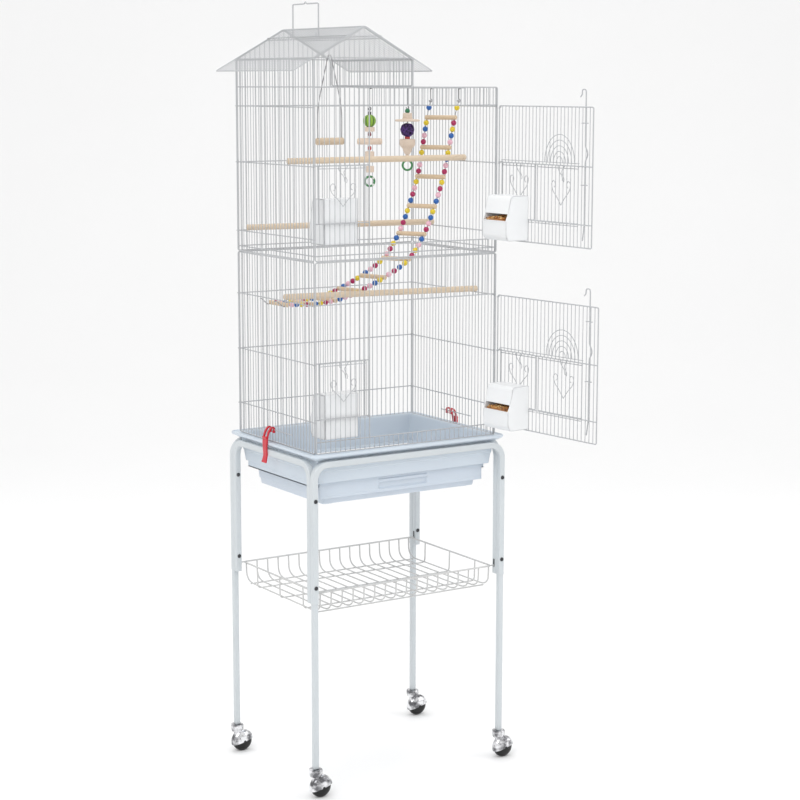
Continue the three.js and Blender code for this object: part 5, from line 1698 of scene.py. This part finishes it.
# %% Ball toy
drop = plumb_line("ball_toy_hang")
BALL = ("ball_toy", "toy_wood")
RING_FACING = (0.45, 0.9, 0)
RING_DROP, RING_RADIUS = drop(192), 9.8
UP = np.array([0, 0, 1])
ACROSS = np.array([math.cos(math.radians(-33)), math.sin(math.radians(-33)), 0])
piece("ball_toy_steel", [hang_wire(*drop(0), 40), rods(drop(44), drop(184), THIN)],
      BLACK_STEEL, "ball_toy", "swing_wire")
studs = [ball(RING_DROP + RING_RADIUS * (math.cos(turn) * ACROSS + math.sin(turn) * UP), 2.9, 8, 5)
         for turn in (0.75, 2.4, 3.9, 5.5)]
piece("ball_toy_beads", [
    puck(3.6, 8, drop(53)).painted(BLACK), puck(3.0, 6, drop(94), 12).painted(MAROON),
    ball(drop(96), 3.9).painted(MAROON), ball(drop(124), 4.0, stretch=1.25).painted(RED),
    ring(RING_DROP, RING_RADIUS, 4.6, RING_FACING).painted(BOTTLE_GREEN),
    *[stud.painted(MINT) for stud in studs],
], BEAD_LACQUER, *BALL, ("ball_toy",))
piece("ball_toy_ribbed", ribbed_ball(drop(68), 13.2), STAINED_WOOD, *BALL)
bar_reach = 26.0 * ACROSS
piece("ball_toy_blocks", [
    puck(10.5, 9.5, drop(85)), dowel(drop(110) - bar_reach, drop(110) + bar_reach, 6.6, 20, 2.4),
    puck(6.2, 9, drop(110)), puck(9.5, 15, drop(138)), puck(6.0, 6, drop(149)),
    puck(9.0, 13, drop(167)),
], BLOCK_WOOD, *BALL)

# %% [markdown]
# The second toy has a wooden hat with a brim, a ball woven from stained rattan, and a turned
# cone. The woven ball is sixteen great circles of thin cane at random tilts around a dark inner
# ball, which is painted shade for the hollow inside of the weave.

# %% Cone toy
drop = plumb_line("cone_toy_hang")
CONE = ("cone_toy", "toy_wood")
piece("cone_toy_steel", [hang_wire(*drop(0), 38), rods(drop(42), drop(150), THIN)],
      BRIGHT_STEEL, "cone_toy", "swing_wire")


def woven_ball(centre, radius, canes=16):
    """Great circles of cane: circle points turned by random rotations, radius slightly waved."""
    random = np.random.default_rng(5)
    angle = np.linspace(0, 2 * np.pi, 30, endpoint=False)
    strands = []
    for index in range(canes):
        first = random.normal(size=3)
        first /= np.linalg.norm(first)
        second = np.cross(first, random.normal(size=3))
        second /= np.linalg.norm(second)
        wave = radius - 0.9 + 0.7 * np.cos(3 * angle + index)
        path = (centre + wave[:, None] * (np.cos(angle)[:, None] * first
                                          + np.sin(angle)[:, None] * second))
        tone = np.array(PURPLE) * random.uniform(0.7, 1.9)
        strands.append(bent_wire(path, 2.3, closed=True, sides=6).painted(tone))
    # the half-bright inner ball is painted shade: it stands for the dark hollow inside the weave
    strands.append(ball(centre, radius - 2.6, 16, 9).painted(np.array(PURPLE) * 0.5))
    return strands


piece("cone_toy_woven_ball", woven_ball(drop(87), 14.2), STAINED_WOOD, *CONE)
piece("cone_toy_beads", [
    ball(drop(48), 5.4).painted(LEAF_GREEN), puck(5.6, 5.0, drop(103.0)).painted(RED),
    ring(drop(160), 9.9, 4.4, RING_FACING).painted(BOTTLE_GREEN),
], BEAD_LACQUER, *CONE, ("cone_toy",))
hat = turned([(48.0, 0), (48.0, 8.6), (49.2, 9.6), (58.0, 10.0), (60.5, 11.0), (61.5, 24.5),
              (62.8, 26.0), (64.6, 26.0), (65.6, 24.5), (66.0, 8.0), (66.0, 0)],
             drop(4), (0, 0, -1), 28)
cone = turned([(98.5, 0), (98.5, 14.6), (100.0, 16.2), (110.0, 16.4), (113.5, 14.8),
               (119.0, 9.6), (122.5, 9.2), (126.0, 7.4), (130.5, 4.8), (131.0, 0)],
              drop(7), (0, 0, -1), 28)
knob = turned([(131.0, 0), (131.0, 3.0), (133.5, 4.4), (136.0, 3.0), (136.0, 0)],
              drop(7), (0, 0, -1), 14)
piece("cone_toy_blocks", [hat, cone, knob], BLOCK_WOOD, *CONE)

# %% [markdown]
# ## Beaded ladder
#
# Dowel rungs are tied between two cords, and each cord carries lacquered beads between the
# rungs. The ladder hangs from two wire hooks under the flat top, bends over the lower perch, and
# its foot is hooked to the left wall. The cords are smooth paths, and beads are set at equal
# lengths along them. A table of rungs is the plainest way to draw so free a shape.

# %% Rungs and cords
RUNG = 62.0  # between the two cords
RUNG_RADIUS = 4.7
OVERHANG = 1.14  # a rung's length over the distance between the cords
PER_RUNG = 12  # points of cord from one rung to the next
RUNGS = np.array([  # middle of each rung, and its heading in degrees; the first is the hooks
    (188, -8, 1394, -52), (180, -6, 1358, -55), (170, -2, 1296, -60), (158, 0, 1235, -63),
    (138, 2, 1174, -64), (112, 2, 1117, -64), (70, -4, 1067, -65), (10, -8, 1033, -72),
    (-44, -4, 1008, -78), (-94, 8, 990, -82), (-140, 22, 984, -86), (-188, 36, 984, -88),
], float)
heading = np.radians(RUNGS[:, 3])
RUNG_WAY = np.stack([np.cos(heading), np.sin(heading), np.zeros(len(RUNGS))], -1)
RUNG_ENDS = {side: RUNGS[:, :3] + side * RUNG / 2 * RUNG_WAY for side in (-1, 1)}
LADDER = ("root", "ladder_beads")
rungs = [dowel(point - way, point + way, RUNG_RADIUS, 16, 1.4)
         for point, way in zip(RUNGS[1:, :3], OVERHANG * RUNG / 2 * RUNG_WAY[1:])]
piece("ladder_rungs", rungs, RUNG_WOOD, *LADDER)
CORD_PATHS = {side: smooth_path(ends, PER_RUNG) for side, ends in RUNG_ENDS.items()}
for path in CORD_PATHS.values():
    print(f"cord of {np.linalg.norm(np.diff(path, axis=0), axis=1).sum():.0f} mm")

# %% [markdown]
# Each row below names the beads between two rungs, on the left cord and on the right one. A bead
# is placed by the length of cord travelled, not by the path's own parameter, or the beads would
# crowd together where the curve's points do.

# %% Beads
BEAD_SIZE = 11.8
BEAD_ROWS = [
    [(BLUE,), (YELLOW,)],
    [(YELLOW, BLUE, PINK, CRIMSON), (CRIMSON, YELLOW, BLUE, PINK)],
    [(YELLOW, BLUE, PINK, CRIMSON), (YELLOW, BLUE, PINK, CRIMSON)],
    [(YELLOW, PINK, CRIMSON, BLUE), (YELLOW, CRIMSON, PINK, BLUE)],
    [(YELLOW, BLUE, CRIMSON, PINK), (YELLOW, BLUE, PINK, CRIMSON)],
    [(BLUE, YELLOW, CRIMSON, PINK), (BLUE, PINK, YELLOW, CRIMSON)],
    [(YELLOW, CRIMSON, PINK, BLUE), (YELLOW, BLUE, CRIMSON, PINK)],
    [(YELLOW, CRIMSON, PINK, BLUE), (YELLOW, BLUE, PINK, CRIMSON)],
    [(CRIMSON, YELLOW, PINK, BLUE), (YELLOW, CRIMSON, PINK, BLUE)],
    [(BLUE, YELLOW, CRIMSON, PINK), (PINK, CRIMSON, YELLOW, BLUE)],
    [(YELLOW, BLUE, PINK, CRIMSON), (CRIMSON, YELLOW, BLUE, PINK)],
]


def threaded(path, colours, clear):
    """Beads spaced evenly along one path, after a clear length and before the next rung.

    A bead's centre is read off the path at the length travelled, by linear interpolation.
    """
    steps = np.linalg.norm(np.diff(path, axis=0), axis=1)
    travelled = np.concatenate([[0], np.cumsum(steps)])
    room = travelled[-1] - clear - RUNG_RADIUS
    size = min(BEAD_SIZE, room / len(colours) * 0.98)
    shares = clear + room * (np.arange(len(colours)) + 0.5) / len(colours)
    centres, aheads = (
        np.stack([np.interp(shares + step, travelled, path[:, k]) for k in range(3)], -1)
        for step in (0, 1)
    )
    return [ball(centre, size / 2, 14, 8, ahead - centre + 1e-6).painted(colour)
            for colour, centre, ahead in zip(colours, centres, aheads)]


beads = []
for column, path in enumerate(CORD_PATHS.values()):
    for row, colours in enumerate(BEAD_ROWS):
        part = path[row * PER_RUNG:(row + 1) * PER_RUNG + 1]
        beads += threaded(part, colours[column], RUNG_RADIUS if row else 0.0)
piece("ladder_bead_rows", beads, BEAD_LACQUER, *LADDER, ("bead_ladder",))

# %% Ladder hooks
HOOK_TOP = FLAT_TOP - 3
cords = [bent_wire(path, THIN, sides=6) for path in CORD_PATHS.values()]
for ends in RUNG_ENDS.values():
    x, y, z = ends[0]
    cords.append(hang_wire(x, y, HOOK_TOP, HOOK_TOP - z - 2))
    foot = ends[-1]
    wall = np.array([1.6 - HALF_WIDTH, foot[1], foot[2] + 9])
    cords.append(bent_wire(smooth_path([foot, foot + (-8, 0, -3), wall + (5, 0, -1), wall]), 2.2))
piece("ladder_cords", cords, BRIGHT_STEEL, "root", "swing_wire")

# %% [markdown]
# ## Floor, light and camera
#
# The stage is a plain pale floor that runs up into a backdrop, lit by a large soft lamp over the
# left shoulder, a wide fill, a soft lamp overhead and an even sky. Thin wires need light from
# many sides, or their shaded halves turn black. The camera stands to the front left, a little
# lower than the roof's ridge, and looks slightly down.

# %% Stage
CAMERA_PLACE = np.array([-2133.7, -3439.4, 1426.0])
CAMERA_YAW = math.radians(32.802)
CAMERA_PITCH = math.radians(-9.160)
CAMERA_ROLL = math.radians(0.080)
LENS = 88.05


def backdrop():
    """A floor that curves up into a wall: a profile carried along the camera's right."""
    profile = filleted([(-9000, 0), (6000, 0), (6000, 9000)], 3000, 12)
    across = np.array([math.cos(CAMERA_YAW), -math.sin(CAMERA_YAW), 0])
    ahead = np.array([math.sin(CAMERA_YAW), math.cos(CAMERA_YAW), 0])
    sides = np.array([-12000.0, 12000.0])
    points = (profile[:, None, :1] * ahead + profile[:, None, 1:] * (0, 0, 1)
              + sides[None, :, None] * across)
    return Surface(points.reshape(-1, 3), [grid_faces(len(profile), 2)])


surface = backdrop()
mesh = bpy.data.meshes.new("stage")
mesh.from_pydata((surface.points * MM).tolist(), [], surface.faces[0].tolist())
mesh.polygons.foreach_set("use_smooth", np.ones(len(mesh.polygons), bool))
stage = bpy.data.objects.new("stage", mesh)
bpy.context.scene.collection.objects.link(stage)
paper = Finish("stage_paper", Specular_IOR_Level=0.1)
mesh.materials.append(paper.set(
    Base_Color=paper.mix(paper.noise(1.5, 2), (0.93, 0.93, 0.93), (0.91, 0.91, 0.91)),
    Roughness=0.9 + 0.05 * paper.noise(20, 2),
))

# %% Lamps
def softbox(name, place, target, size, power):
    """A square area lamp at a place, turned to face a target, in millimetres."""
    light = bpy.data.lights.new(name, "AREA")
    light.shape, light.size, light.energy = "SQUARE", size, power
    lamp = bpy.data.objects.new(name, light)
    place = (np.array(place) + CENTRE) * MM
    target = (np.array(target) + CENTRE) * MM
    lamp.location = place
    lamp.rotation_euler = Vector(target - place).to_track_quat("-Z", "Y").to_euler()
    bpy.context.scene.collection.objects.link(lamp)
    print(f"{name}: {size} m, {power} W")


softbox("key_lamp", (-2600, -2200, 3600), (0, 0, 900), 2.6, 66)
softbox("fill_lamp", (3200, -2600, 2200), (0, 0, 900), 3.0, 30)
softbox("top_lamp", (200, 600, 4200), (0, 0, 0), 3.0, 42)
world = bpy.data.worlds.new("studio_sky")
bpy.context.scene.world = world
world.use_nodes = True
sky = world.node_tree.nodes["Background"]
sky.inputs["Color"].default_value = (1.0, 1.0, 1.0, 1)
sky.inputs["Strength"].default_value = 0.86

# %% Camera
lens = bpy.data.cameras.new("camera")
lens.lens, lens.sensor_width, lens.clip_end = LENS, 36.0, 100.0
camera = bpy.data.objects.new("camera", lens)
bpy.context.scene.collection.objects.link(camera)
turn = (Matrix.Rotation(-CAMERA_YAW, 4, "Z") @ Matrix.Rotation(math.pi / 2 + CAMERA_PITCH, 4, "X")
        @ Matrix.Rotation(CAMERA_ROLL, 4, "Z"))
camera.matrix_world = Matrix.Translation(Vector((CAMERA_PLACE + CENTRE) * MM)) @ turn
bpy.context.scene.camera = camera
bpy.context.scene.view_settings.view_transform = "Standard"
print("camera at", [round(v, 3) for v in camera.location])

# %% [markdown]
